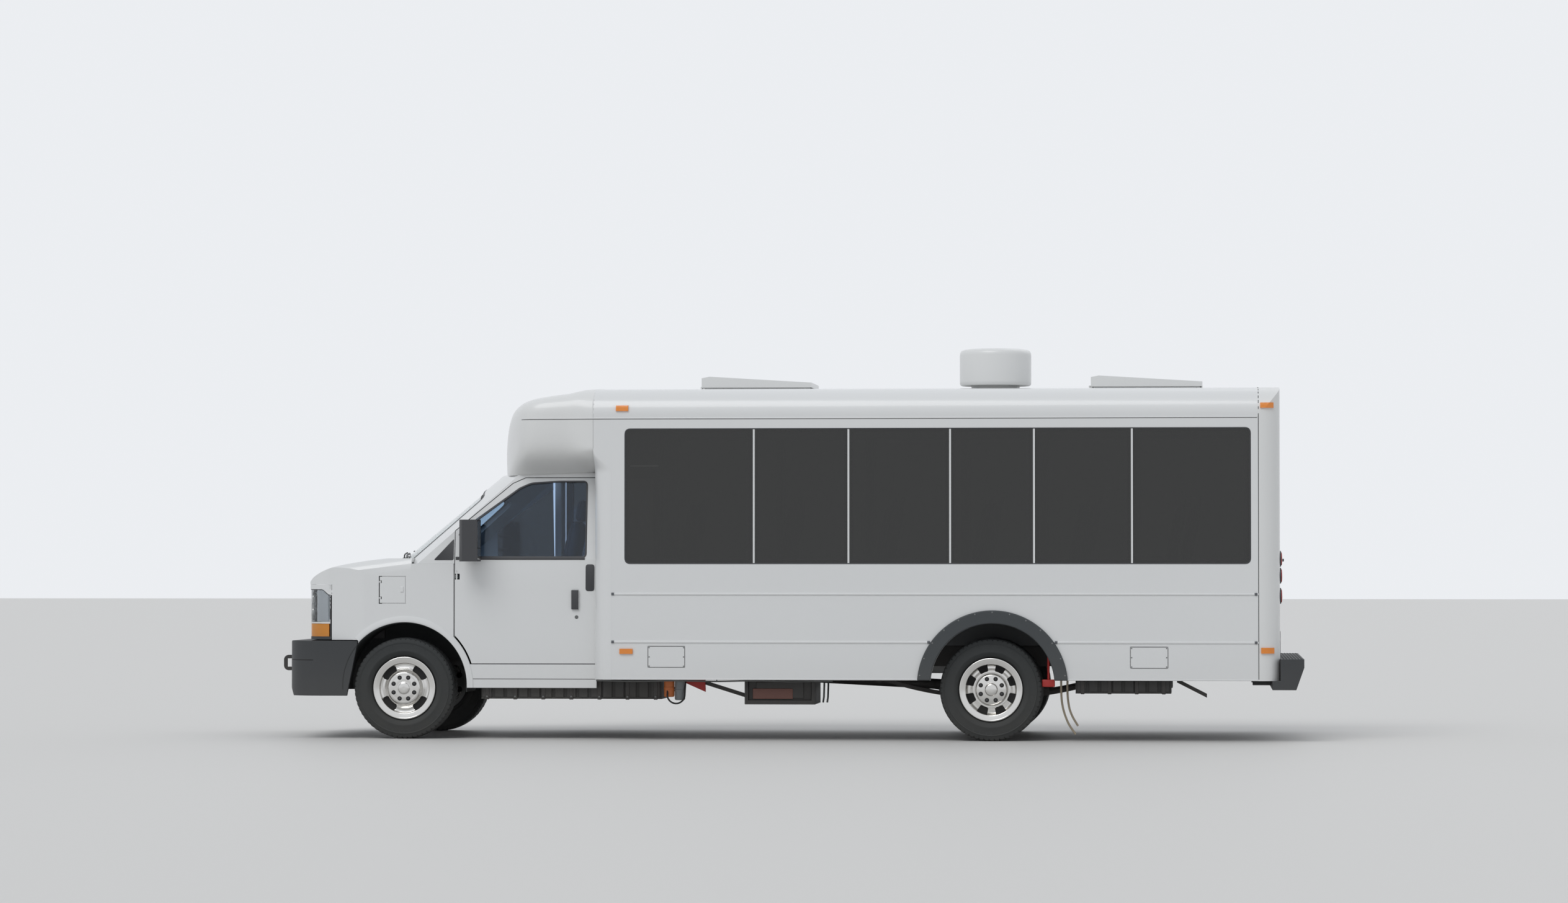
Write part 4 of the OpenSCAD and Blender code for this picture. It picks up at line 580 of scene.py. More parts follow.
# %% Wheels on their axles
lug_angles = np.radians(22.5 + 45 * np.arange(lug_count))
wheel_kinds = {
    "front": (front_liner, pressed_openings(142, 188, 4, 0.36, 26), 113.6, 53.2),
    "rear": (rear_liner, pressed_openings(140, 186, 8, 0.22, 24), 31.4, -28.4),
}
for place_name, axle_x, side, middles in wheels:
    front = len(middles) == 1
    body = ("wheel_" if front else "wheels_") + place_name
    centre = (axle_x, side * middles[0], wheel_centre_z)
    profile, openings, lug_face, skin_y = wheel_kinds["front" if front else "rear"]
    liner = [ring_plate(dense(profile), centre, side, 288, signed(openings, side))]
    if not front:
        liner.append(ring_plate(rear_hub, centre, side, 192))
    lugs = [(axle_x + lug_circle * math.sin(a), side * (middles[0] + lug_face),
             wheel_centre_z + lug_circle * math.cos(a)) for a in lug_angles]
    piece("wheel_liner_" + place_name, liner, bright_steel, body=body, smooth_deg=40)
    # Dark discs and a dark ring of painted shade, where the holes and openings would be dark.
    piece("wheel_painted_shade_" + place_name, [ring_plate(lug_hole, p, side, 20) for p in lugs]
          + [ring_plate(painted_shade_ring(skin_y), centre, side, 96)], painted_shade_and_frit, body=body)
    nuts = [dome(np.add(p, (0, side * 1.5, 0)), 8, 3.5, side, 12) for p in lugs]
    piece("lug_nuts_" + place_name, nuts, mirror_plastic, body=body)
    print(place_name, len(nuts), "lug nuts")

# %% [markdown]
# ## Rounded edges on the solid panels
# The solids have knife edges, and a real pressed or moulded panel has none: its rounded edges catch
# the light. A copy of the solid is merged into one skin, its flat faces are joined, and a bevel
# rounds each edge sharper than a given angle. The copy then stands for the solid.

# %% Softened copies
render_levels = 2
bevel_above_deg, sharp_above_deg = 28, 38


def softened(node, made, width_mm):
    """A merged copy of a node whose edges above 28 degrees are rounded by width_mm."""
    source = nodes[node]
    mesh = source.data.copy()
    shell = bmesh.new()
    shell.from_mesh(mesh)
    bmesh.ops.remove_doubles(shell, verts=shell.verts, dist=2e-5)
    bmesh.ops.dissolve_limit(shell, angle_limit=math.radians(0.1), verts=shell.verts, edges=shell.edges)
    shell.to_mesh(mesh)
    shell.free()
    mesh.shade_smooth()
    mesh.set_sharp_from_angle(angle=math.radians(sharp_above_deg))
    mesh.materials.clear()
    mesh.materials.append(made)
    thing = bpy.data.objects.new(node + "_panel", mesh)
    bpy.context.scene.collection.objects.link(thing)
    bevel = thing.modifiers.new("rounded edges", "BEVEL")
    bevel.width = width_mm / 1000
    bevel.segments = render_levels
    bevel.limit_method = "ANGLE"
    bevel.angle_limit = math.radians(bevel_above_deg)
    bevel.use_clamp_overlap = True
    even = thing.modifiers.new("even shading", "WEIGHTED_NORMAL")
    even.mode = "FACE_AREA"
    even.weight = 100
    even.keep_sharp = True
    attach(thing, source["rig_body"])
    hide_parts(node)
    return thing


for node, made, width in [
        ("cab_body", white_paint, 5), ("front_fenders", white_paint, 5), ("hood", white_paint, 5),
        ("cab_door", white_paint, 4), ("charging_flap", white_paint, 3),
        ("side_wall_left", white_paint, 2), ("side_wall_right", white_paint, 2),
        ("roof_panel", white_paint, 3), ("rear_wall", moulded_white, 6), ("rear_door", white_paint, 4),
        ("hatch_lid_front", moulded_white, 12), ("hatch_lid_rear", moulded_white, 12),
        ("front_bumper", bumper_plastic, 10), ("rear_bumper", bumper_plastic, 6),
        ("wheel_flares", flare_plastic, 7),
        ("entry_leaf_front", door_frame_paint, 3), ("entry_leaf_rear", door_frame_paint, 3),
        ("mirror_left", mirror_plastic, 9), ("mirror_right", mirror_plastic, 9),
        ("battery_packs", pack_black, 3), ("converter_box", pack_black, 4)]:
    panel = softened(node, made, width)
    print(panel.name, len(panel.data.polygons), "faces")

# %% [markdown]
# ## The cap over the cab
# The cap is one fibreglass moulding, drawn out of a mould, so it hasn't a single sharp edge. Its side,
# plan and section outlines are each easy to write, and a soft maximum of the distances beyond them
# gives a closed rounded form. Points are found by halving along rays from a point inside it, and a
# solidify modifier gives the skin its thickness.

# %% Soft maximum and rays
def soft_max(values, softness):
    """softness * log(sum(exp(value / softness))): the largest value, rounded where two are close."""
    values = np.stack(np.broadcast_arrays(*values))
    top = values.max(0)
    return top + softness * np.log(np.exp((values - top) / softness).sum(0))


def beyond(a, b, outline):
    """How far (a, b) is beyond a convex outline: the largest distance past a line through an edge."""
    corner = np.asarray(outline, float)
    edge = np.roll(corner, -1, 0) - corner
    normal = np.stack([edge[:, 1], -edge[:, 0]], 1) / np.linalg.norm(edge, axis=1)[:, None]
    normal *= np.sign(((corner - corner.mean(0)) * normal).sum(1))[:, None]
    reach = (corner * normal).sum(1)
    return (np.asarray(a)[..., None] * normal[:, 0] + np.asarray(b)[..., None] * normal[:, 1]
            - reach).max(-1)


halvings = 34


def reach_of(distance, start, way, far, level=0.0):
    """The points start + r * way where the distance is the level, by halving r between 0 and far."""
    near = np.zeros(way.shape[:-1])
    out = near + far
    for _ in range(halvings):
        middle = (near + out) / 2
        inside = distance(*np.moveaxis(start + middle[..., None] * way, -1, 0)) < level
        near, out = np.where(inside, middle, near), np.where(inside, out, middle)
    return start + near[..., None] * way


def stepped(edge, width, value):
    """Rises smoothly from 0 at edge to 1 at edge + width: t * t * (3 - 2 t)."""
    t = np.clip((np.asarray(value, float) - edge) / width, 0, 1)
    return t * t * (3 - 2 * t)


print("two equal values of 1 give", soft_max([1.0, 1.0], 0.5).round(2))

# %% Cap form
body_half, body_front, body_rear = 1219.0, 1421.0, -3760.0
roof_middle, roof_edge, cove = 2694.0, 2664.0, 200.0
cab_half = 1006.0
crown_radius = ((body_half - cove) ** 2 + 30 ** 2) / 60
cap_line = smooth_path([(-1467, 2694), (-1300, 2662), (-993, 2597), (-849, 2542), (-775, 2480),
                        (-715, 2380), (-672, 2240), (-666, 2140), (-680, 2010)], 5) + [axle_front, 0]
cap_outline = np.vstack([[(body_front - 500, 1700), (body_front - 500, 2694)], cap_line,
                         [(axle_front - 720, 1700)]])


def body_beyond(y, z):
    """Distance beyond the body's section: a crowned roof, coves of 200 mm and upright sides."""
    roof = np.hypot(y, z - roof_middle + crown_radius) - crown_radius
    side = np.hypot(np.maximum(np.abs(y) - body_half + cove, 0), np.maximum(z - roof_edge + cove, 0)) - cove
    return np.maximum(roof, np.where(np.abs(y) > body_half - cove, side, roof))


def cap_beyond(x, y, z):
    """Soft maximum of the section, the side outline, the plan and the two slopes under the sides.
    The plan's corners are arcs of 380 mm drawn out 1.6 times in x, and its front is bowed at 2.6 m."""
    y = np.abs(y)
    corner = np.hypot(np.maximum(x - 1771, 0) / 1.6, np.maximum(y - 839, 0)) - 380
    front = np.hypot(x + 358, y) - 2600
    lower = ((y - 1219) * 74 - (z - 2204) * 60) / 95.3
    lowest = ((y - 1159) * 100 - (z - 2130) * 193) / 217.4
    softness = 0.5 + 37.5 * stepped(body_front, 230, x)
    return soft_max([body_beyond(y, z), beyond(x, z, cap_outline), soft_max([corner, front], 40), lower,
                     lowest], softness)


print("the roof is crowned at", round(crown_radius), "mm")

# %% Cap surface
cap_heart = np.array([body_front + 30, 0, 2012.0])
rise = np.radians(np.concatenate([np.linspace(0, 11, 15), np.linspace(12, 36, 15),
                                  np.linspace(38.5, 90, 22)]))
heading = np.radians(np.linspace(-90, 90, 141))
across_way = xyz(np.cos(heading), np.sin(heading), 0)
dome_way = np.cos(rise)[:, None, None] * across_way + np.sin(rise)[:, None, None] * np.array([0, 0, 1.0])
farthest, skin_level = 1700, 0.6
dome_points = reach_of(cap_beyond, cap_heart, dome_way, farthest, skin_level)
cross_way = np.concatenate([dome_way[:, -1], dome_way[::-1, 0]])
cross_starts = np.array([[body_front - 4, 0, 2012.0], [body_front + 10, 0, 2012.0], cap_heart])
cross_ways = np.broadcast_to(cross_way, (len(cross_starts), *cross_way.shape))
sleeve_points = reach_of(cap_beyond, cross_starts[:, None, :], cross_ways, farthest, skin_level)


def lower_edge(points):
    """The lowest 10 degrees are lifted so that the edge follows the cab's roof, higher at the back."""
    points = points.copy()
    lift = (2038 - 28 * (points[..., 0] - body_front) / 797) - 2012
    points[..., 2] += lift * (1 - stepped(2012, 190, points[..., 2]))
    return points


dome_points, sleeve_points = lower_edge(dome_points), lower_edge(sleeve_points)
rim = dome_points[:1]
tucked = rim + (cap_heart * [1, 1, 0] + rim * [0, 0, 1] - rim) * 0.065
front_cap = piece("front_cap_shell", [grid_form(np.vstack([tucked, dome_points])), grid_form(sleeve_points)],
                  moulded_white, stands_for=["front_cap"], smooth_deg=50)
thick = front_cap.modifiers.new("skin", "SOLIDIFY")
thick.thickness, thick.offset = 0.009, -1
cap_x, cap_z = dome_points[..., 0].max(), dome_points[..., 2].max()
print("cap reaches x", round(float(cap_x)), "and z", round(float(cap_z)))

# %% [markdown]
# ## Strips, gaskets and rails
# Rubber gaskets, rub rails and seams are drawn or extruded sections bent round an outline. A ribbon
# carries such a section along a path and keeps it square to the surface it lies on.

# %% Ribbons
def ribbon(path, outward, section, closed=False):
    """A section of (across, out) points along a path. Across is square to both the path and outward."""
    path = np.asarray(path, float)
    outward = np.broadcast_to(np.asarray(outward, float), path.shape)
    along = np.roll(path, -1, 0) - np.roll(path, 1, 0) if closed else np.gradient(path, axis=0)
    sideways = unit(np.cross(outward, along))
    section = np.asarray(section, float)
    rings = (path[:, None] + sideways[:, None] * section[None, :, :1]
             + outward[:, None] * section[None, :, 1:])
    return grid_form(rings, around=True, closed=closed, caps=not closed)


def rounded_outline(corners, radius, steps):
    """A closed outline with each corner replaced by a parabola from radius before it to radius
    after it: (1-t)^2 a + 2 t (1-t) corner + t^2 b."""
    p = np.asarray(corners, float)
    t = np.linspace(0, 1, steps)[:, None]
    rows = []
    for before, here, after in zip(np.roll(p, 1, 0), p, np.roll(p, -1, 0)):
        a, b = before - here, after - here
        a *= min(radius / np.linalg.norm(a), 0.48)
        b *= min(radius / np.linalg.norm(b), 0.48)
        rows.append((1 - t) ** 2 * (here + a) + 2 * t * (1 - t) * here + t ** 2 * (here + b))
    return np.vstack(rows)


def strip_section(width, height, sink=1.0):
    """A flat strip with rounded shoulders, sunk a little in the surface."""
    w, s = width / 2, min(width / 4, height * 0.7)
    return [(-w, -sink), (-w, height - s), (-w + s * 0.3, height - s * 0.3), (-w + s, height),
            (w - s, height), (w - s * 0.3, height - s * 0.3), (w, height - s), (w, -sink)]


print(len(strip_section(9, 4)), "points in a strip's section")

# %% Places on the walls
def on_wall(outline, side, stand=0.0):
    """(x, z) points put on the body's side wall."""
    x, z = np.transpose(outline)
    return xyz(x, side * (body_half + stand), z)


def wall_loop(box, radius, steps, side, section):
    """A closed ribbon round a rectangle (x0, x1, z0, z1) on a side wall."""
    outline = rounded_outline(rectangle(*box), radius, steps)
    return ribbon(on_wall(outline, side), (0, side, 0), section, closed=True)


def cab_y(z):
    """The cab's side: upright to 1150, then drawn in to the belt and on to the roof."""
    return np.interp(z, [0, 1150, 1372, 2136], [1006, 1006, 996, 885])


def on_cab(outline, side, stand=0.0):
    """(x behind the front axle, z) points put on the side of the cab."""
    x, z = np.transpose(outline)
    return xyz(axle_front + x, side * (cab_y(z) + stand), z)


cab_lean = math.atan2(111, 764)


def cab_outward(outline, side):
    """Outward direction on the cab's side: level below 1150, a little upwards above the belt."""
    lean = np.interp(np.asarray(outline, float)[:, 1], [1140, 1200, 1360, 1400], [0, 0.045, 0.09, cab_lean])
    return xyz(0, side * np.cos(lean), np.sin(lean))


def cab_plate(outline, side, thickness):
    """A plate of an (x, z) outline on the side of the cab, with a chamfered outer edge."""
    outline = np.asarray(outline, float)
    middle = outline.mean(0)
    inset = middle + (outline - middle) * (1 - 1.5 / np.abs(outline - middle).max(0))
    rings = [on_cab(outline, side, -1), on_cab(outline, side, thickness - 0.8),
             on_cab(inset, side, thickness)]
    return grid_form(rings, around=True, caps=True)


print("the cab is", round(float(cab_y(2136.0))), "mm from the middle at its roof")

# %% [markdown]
# ## Roof seam, rub rails and window edge
# The roof's moulding meets the wall in a rolled seam, and two rub rails run along each side. Both are
# ribbons with a flat section, as the real ones are lengths of one profile. The lower rail stops where
# the wheel flare begins, and grey plugs close the ends. A thin gasket rings the band of windows. A dark
# strip of painted shadow runs under the roof seam.

# %% Roof seams, rub rails and window edges
seam_z = 2441.0


def cap_side_y(x):
    """The cap's own y just under the roof seam, found like its other points."""
    start = xyz(x, 0, seam_z - 4)
    return reach_of(cap_beyond, start, np.broadcast_to([0.0, 1.0, 0.0], start.shape), 1400)[:, 1]
    return reach_of(cap_beyond, start, np.broadcast_to([0.0, 1.0, 0.0], start.shape), 1400)[:, 1]


seam_x = np.concatenate([np.linspace(body_rear + 170, body_front - 2, 30),
                         np.linspace(body_front + 2, axle_front - 925, 30)])
seam_y = np.where(seam_x > body_front - 5, cap_side_y(np.maximum(seam_x, body_front - 4)) + 1.2, body_half)
seam_lines, seam_shadows = [], []
for side in (1, -1):
    line = xyz(seam_x, side * seam_y, seam_z)
    seam_lines.append(ribbon(line, (0, side, 0), strip_section(9, 4)))
    # The thin dark strip under the rail is a painted shadow.
    seam_shadows.append(ribbon(line - [0, 0, 6.5], (0, side, 0), strip_section(4, 1.2)))
piece("roof_seam_rail", seam_lines, white_paint)
piece("roof_seam_painted_shadow", seam_shadows, seam_dark_and_painted_shadow)

flare_place, flare_outer = (axle_rear - 16, 420.0), 568.0
rail_rear, rail_clearance = -3590.0, 3.0


def rail_spans(z, front):
    """The rail's ends in x, cut short by the wheel flare where the rail meets it."""
    half = math.sqrt(max(0.0, (flare_outer + rail_clearance) ** 2 - (z - flare_place[1]) ** 2))
    if half == 0:
        return [(rail_rear, front)]
    return [(rail_rear, flare_place[0] - half), (flare_place[0] + half, front)]


rails, rail_ends = [], []
end_length = 22
for side, front in ((1, body_front - 140), (-1, 1160.0)):
    for z in (1110.0, 747.0):
        for a, b in rail_spans(z, front):
            rails.append(ribbon(on_wall([(a, z), (b, z)], side, 0.5), (0, side, 0), strip_section(17, 6)))
            rail_ends += [side_box((x, 1218, z - 10), (x + end_length, 1227, z + 10), side, 3)
                          for x in (b - end_length, a)]
piece("rub_rail_covers", rails, white_paint)
piece("rub_rail_ends", rail_ends, trim_plastic)
piece("window_band_gasket", [wall_loop((-3539, front, 1340, 2360), 42, 8, side, strip_section(8, 1.6))
                             for side, front in ((1, 1178), (-1, 1058))], mirror_plastic)
print(len(rails), "lengths of rub rail")

# %% [markdown]
# ## Nose
# The nose's outer form is where its side, plan and section outlines all hold, as in the solid model.
# Patches of that form at set depths below it are found along level rays from a point behind the lamp.

# %% Nose form
nose_line = smooth_path([(130, 1380), (289, 1362), (489, 1328), (600, 1296), (690, 1252), (745, 1205),
                         (785, 1120), (800, 1000), (800, 756)], 3)
nose_side = np.vstack([[(-420, 700), (-420, 1380)], nose_line, [(800, 700)]])
quarter_turn = np.linspace(np.pi / 2, 0, 10)
nose_corner = np.stack([530 + 265 * np.cos(quarter_turn), 700 + 265 * np.sin(quarter_turn)], 1)
half_plan = np.vstack([[(-1500, cab_half), (290, cab_half)], nose_corner])
nose_plan = np.vstack([half_plan, half_plan[::-1] * [1, -1]])
shoulder = np.stack([876 + 130 * np.cos(quarter_turn[::-1]), 1274 + 130 * np.sin(quarter_turn[::-1])], 1)
half_section = np.vstack([[(cab_half, -400)], shoulder])
nose_section = np.vstack([half_section, half_section[::-1] * [-1, 1]])
section_lean = math.radians(7.5)
bow_radius, nose_reach, bumper_reach = 7000, 800, 946
behind_lamp = (axle_front + 450, 450.0)


def nose_beyond(x, y, z):
    """Largest distance beyond the nose's side, plan, bowed front and forward-leaning section."""
    ahead_of_axle = x - axle_front
    leaned = ahead_of_axle * math.sin(section_lean) + z * math.cos(section_lean)
    return np.stack([beyond(ahead_of_axle, z, nose_side), beyond(ahead_of_axle, y, nose_plan),
                     np.hypot(ahead_of_axle + bow_radius - nose_reach, y) - bow_radius,
                     beyond(y, leaned, nose_section)]).max(0)


def nose_patch(headings_deg, heights, depth):
    """Points of the nose at a depth below its surface, one row per heading and one column per height.
    Heights may differ from heading to heading."""
    turn_by = np.radians(np.asarray(headings_deg, float))[:, None]
    heights = np.broadcast_to(np.asarray(heights, float), (len(turn_by), np.shape(heights)[-1]))
    start = xyz(*behind_lamp, heights)
    way = xyz(np.cos(turn_by), np.sin(turn_by), 0 * heights)
    return reach_of(nose_beyond, start, way, 700, -depth)


def between(outer, inner):
    """A closed shell between two grids of the same size, joined round their borders."""
    rows, columns = outer.shape[:2]
    loop = ([(0, j) for j in range(columns)] + [(i, columns - 1) for i in range(1, rows)]
            + [(rows - 1, j) for j in range(columns - 2, -1, -1)] + [(i, 0) for i in range(rows - 2, 0, -1)])
    corners, faces = grid_form(outer)
    count = rows * columns
    faces = faces + [[k + count for k in face[::-1]] for face in faces]
    for (i, j), (m, n) in zip(loop, loop[1:] + loop[:1]):
        a, b = i * columns + j, m * columns + n
        faces.append([a, b, b + count, a + count])
    return np.vstack([corners, inner.reshape(-1, 3)]), faces


def nose_shell(headings_deg, heights, outer, inner):
    """A shell of the nose from one depth below its surface to another."""
    return between(nose_patch(headings_deg, heights, outer), nose_patch(headings_deg, heights, inner))


def both(forms):
    """Forms of the driver's side together with their mirror images."""
    return list(forms) + [mirrored(form) for form in forms]


print("the nose reaches x", nose_patch([0], [900], 0)[0, 0, 0].round())

# %% [markdown]
# ## Headlamps
# A headlamp is a clear cover that wraps round the corner, with a bright bowl behind it. Modelled as a
# flat box it would look painted on. So the cover is a thin shell of the nose, and a mirror wall leads
# from its edge back to a smaller patch, before which stand two round bowls. The turn signal is alike.

# %% Headlamps
lamp_reflector = finish("lamp reflector", (0.40, 0.42, 0.44), 0.2, metal=0.95, patch=(9, 0.1),
                        grain=(300, 0.01), dust=(0.9, 0.0))
turn_lens = finish("amber turn lens", (1.0, 0.42, 0.02), 0.08, coat=0.5, patch=(20, 0.1),
                   grain=(300, 0.02), dust=(0.9, 0.0), transmission=0.55)
loop_places = np.linspace(0, 1, 84, endpoint=False)


def even_loop(grid):
    """Points at even steps of length round the outer loop of a grid."""
    path = np.vstack([grid[0], grid[1:, -1], grid[-1, -2::-1], grid[-2:0:-1, 0], grid[:1, 0]])
    run = np.r_[0, np.cumsum(np.linalg.norm(np.diff(path, axis=0), axis=1))]
    return np.stack([np.interp(loop_places * run[-1], run, path[:, k]) for k in range(3)], 1)


def reflector(mouth, headings_deg, heights, depth):
    """A wall from a mouth back to a patch of the nose at a depth, and that patch, 4 mm thick."""
    wall = grid_form([even_loop(mouth), even_loop(nose_patch(headings_deg, heights, depth))], around=True)
    return [wall, nose_shell(headings_deg, heights, depth, depth + 4)]


lamp_headings = np.linspace(18.5, 75.5, 30)
lamp_part = np.linspace(0, 1, 30)
lamp_foot, mouth_depth = 893, 12
lamp_top = 1139 - 46 * stepped(0.86, 0.14, lamp_part) - 46 * stepped(0, 0.16, 0.16 - lamp_part)
lens_heights = lamp_foot + (lamp_top - lamp_foot)[:, None] * np.linspace(0, 1, 12)
lamp_lens = nose_shell(lamp_headings, lens_heights, 6, 9)
piece("headlamp_lenses", both([lamp_lens]), clear_lens, stands_for=["headlamps"])
piece("headlamp_reflectors", both(reflector(nose_patch(lamp_headings, lens_heights, mouth_depth),
                                            lamp_headings[2:-2], lens_heights[2:-2] * 0.96 + 40, 52)),
      lamp_reflector, smooth_deg=50)
bulb_ring = [(0.1, 20), (10, 20), (11, 16), (12, 0), (40, 3), (52, 14), (56, 24), (59, 24), (58, 12),
             (0.1, -8)]
bulb = turned(revolved(bulb_ring, 28), -90, "Z")
piece("headlamp_bulb_bowls", both([moved(bulb, (axle_front + 742, 640, z)) for z in (1060, 960)]),
      bright_steel)
print("the lamp reaches x and y", lamp_lens[0].max(0)[:2].round())

# %% Turn signals and lamp frames
amber_heights = np.linspace(781, 879, 6)
amber_headings = np.linspace(20, 75, 22)
piece("turn_signal_lenses", both([nose_shell(amber_headings, amber_heights, 7, 11)]), turn_lens)
piece("turn_signal_reflectors", both(reflector(nose_patch(amber_headings, amber_heights, mouth_depth),
                                               amber_headings, amber_heights, 40)),
      lamp_reflector, smooth_deg=50)
frame_start, frame_end = 17.6, 76.6
frame_headings = np.linspace(frame_start, frame_end, 30)
lower_frame = nose_shell(frame_headings, [758, 770, 780], 5, 40)
lamp_edge = np.vstack([nose_patch(frame_headings, (lamp_top + 3)[:, None], 5)[:, 0],
                       nose_patch([frame_end], np.linspace(1080, 760, 12), 5)[0]])
lamp_out = unit((lamp_edge - [*behind_lamp, 0]) * [1, 1, 0])
piece("headlamp_frames", both([lower_frame, ribbon(lamp_edge, lamp_out, strip_section(8, 3, 14))]),
      grille_plastic)
piece("headlamp_trim", both([nose_shell(frame_headings, [880, 886, 892], 4, 30)]), bright_steel)
cover_foot, cover_top = lamp_top[:, None] + 4, 1179
cover_heights = cover_foot + (cover_top - cover_foot) * np.linspace(0, 1, 6)
cover_headings = frame_headings + 0.8 * (frame_headings > 76)
piece("headlamp_brow", both([nose_shell(cover_headings, cover_heights, 0.3, 2.6)]), white_paint,
      smooth_deg=60)
print("the lamp frame is", round(float(frame_end - frame_start)), "degrees wide")

# %% [markdown]
# ## Wheel arches
# The front arch has a rolled lip that swells out from the fender and folds in at its edge, and a
# dark moulded liner behind it keeps the road dirt off the engine bay. The lip is lower towards the
# door, which swings past it.

# %% Front arches
arch_x, arch_z = axle_front - 10, 410.0
lip_profile = np.array([(530, -1), (529, 0.45), (525, 0.55), (512, 0.8), (496, 1.0), (487, 0.95),
                        (482, 0.7), (481, -2.0), (483.5, -2.0), (485, -0.5)])
lip_turn = np.radians(np.linspace(43.5, 181.5, 70))
lip_stand = 10.5 - 4.9 * stepped(math.radians(105), math.radians(40), lip_turn)
lip_angle, lip_radius = lip_turn[:, None], lip_profile[:, 0]
lip_points = xyz(arch_x + lip_radius * np.cos(lip_angle), cab_half + lip_profile[:, 1] * lip_stand[:, None],
                 arch_z + lip_radius * np.sin(lip_angle))
piece("front_arch_lips", both([grid_form(lip_points, around=True, caps=True)]), white_paint, smooth_deg=60)
liner_turn = np.radians(np.linspace(-4, 186, 60))[:, None]
liner_wave = np.sin(np.linspace(0, 5 * np.pi, 30))[None, :] ** 8
liner_y = np.linspace(538, 1002, 30)[None, :]


def liner_skin(radius):
    """Part of a drum with shallow stiffening ribs round it."""
    r = radius - 3 * liner_wave
    return xyz(arch_x + r * np.cos(liner_turn), liner_y, arch_z + r * np.sin(liner_turn))


inner_turn = np.radians(np.linspace(23.5, 156.5, 24))
inner_x, inner_z = arch_x + 479 * np.cos(inner_turn), arch_z + 479 * np.sin(inner_turn)
inner_rings = [xyz(inner_x, y, inner_z) for y in (536, 540)]
piece("front_wheelhouse_liners", both([between(liner_skin(480.5), liner_skin(477)),
                                       grid_form(inner_rings, around=True, caps=True)]), tyre_rubber,
      smooth_deg=60)
print(lip_points.shape[:2], "points in an arch lip")

# %% [markdown]
# ## Body corner
# The passenger body's forward corner is a wide round column that sharpens where it runs up into the
# cap. Rows of arcs do this: the corner's radius shrinks smoothly with height.

# %% Forward corner of the body
corner_z = np.concatenate([[462.0, 900, 1500], np.linspace(2020, 2206, 18)])
corner_radius = 139 - 133 * stepped(2030, 165, corner_z)
corner_turn = np.linspace(0, np.pi / 2, 14)


def corner_skin(stand):
    """Arcs about (front - r, half - r), one per height, from the front face round to the side. Each runs
    on level at both ends, as far as the widest arc."""
    r = corner_radius[:, None]
    x = body_front - r + (r + stand) * np.cos(corner_turn)
    y = body_half - r + (r + stand) * np.sin(corner_turn)
    end = 0 * r + corner_radius.max() + 2
    x, y = np.hstack([x[:, :1], x, body_front - end]), np.hstack([body_half - end, y, y[:, -1:]])
    return xyz(x, y, corner_z[:, None])


piece("body_corner_left", [between(corner_skin(0.5), corner_skin(-2.5))], white_paint, smooth_deg=60)
print("the corner's radius falls from", corner_radius.max().round(), "to", corner_radius.min().round())

# %% [markdown]
# ## Windshield, cab door and mirrors
# The windshield lies on a drum of 2.8 m radius. Points on it are given by their place across and up
# the slope. Black ceramic bands and rubber gaskets frame the glass. Two wipers rest at its foot.
# The door's gasket, belt strip and handle lie on the cab's side, which is drawn in above the belt.

# %% Windshield
screen_slope = math.atan2(638, 771)
screen_foot = np.array([axle_front + 145, 0, 1368.0])
screen_radius = 2800.0


def on_screen(across, up, stand=0.0):
    """across = y, up = along the slope; the drum's surface falls back by r - sqrt(r^2 - y^2)."""
    across, up = np.broadcast_arrays(np.asarray(across, float), np.asarray(up, float))
    outwards = np.sqrt(screen_radius ** 2 - across ** 2) - screen_radius + stand
    return screen_foot + xyz(outwards * math.sin(screen_slope) - up * math.cos(screen_slope), across,
                             up * math.sin(screen_slope) + outwards * math.cos(screen_slope))


def dense_loop(outline, step):
    """A closed outline with points at most step apart."""
    return dense(np.vstack([outline, outline[:1]]), step)[:-1]


screen_out = np.array([math.sin(screen_slope), 0, math.cos(screen_slope)])
screen_corners = [(-800, 40), (800, 40), (700, 860), (-700, 860)]
screen_line = dense_loop(rounded_outline(screen_corners, 75, 7), 60)
gasket_path = on_screen(screen_line[:, 0], screen_line[:, 1])
piece("windshield_gasket", [ribbon(gasket_path, screen_out, strip_section(16, 3, 6), closed=True)],
      mirror_plastic)
ceramic_line = screen_line * [0.975, 0.955] + [0, 20]
piece("windshield_ceramic_band",
      [ribbon(on_screen(ceramic_line[:, 0], ceramic_line[:, 1], -8), screen_out, strip_section(40, 0.6, 0.2),
              closed=True)], painted_shade_and_frit)
cowl_y = np.linspace(-770, 770, 40)
piece("windshield_cowl", [ribbon(on_screen(cowl_y, -6), screen_out, strip_section(64, 5, 2))], bumper_plastic)
# The slots are dark boxes of painted shade, where the openings in the cowl would be dark.
cowl_slots = [rounded_box(on_screen(y, -30, 4) - [2, 16, 4], on_screen(y, -30, 4) + [22, 16, 6], 2)
              for y in np.linspace(-560, 560, 15)]
piece("windshield_cowl_slot_shade", cowl_slots, painted_shade_and_frit)
blade_section = [(-3, -7), (-6, 2), (-5, 7), (5, 7), (6, 2), (3, -7)]
wiper_parts = []
for foot_y in (-560.0, 60.0):
    blade_y = np.linspace(foot_y + 40, foot_y + 560, 14)
    blade_up = 66 + 26 * (blade_y - blade_y[0]) / 520
    wiper_parts.append(ribbon(on_screen(blade_y, blade_up, 8), screen_out, blade_section))
    foot = on_screen(foot_y, 2, 12)
    arm = [foot + [0, 0, 4], on_screen(foot_y + 110, 40, 26), on_screen(foot_y + 300, 88, 22)]
    wiper_parts += [rod(foot - [0, 0, 26], foot + [0, 0, 6], 13, 18), tube(smooth_path(arm, 6), 5.5, 10)]
piece("windshield_wipers", wiper_parts, mirror_plastic)
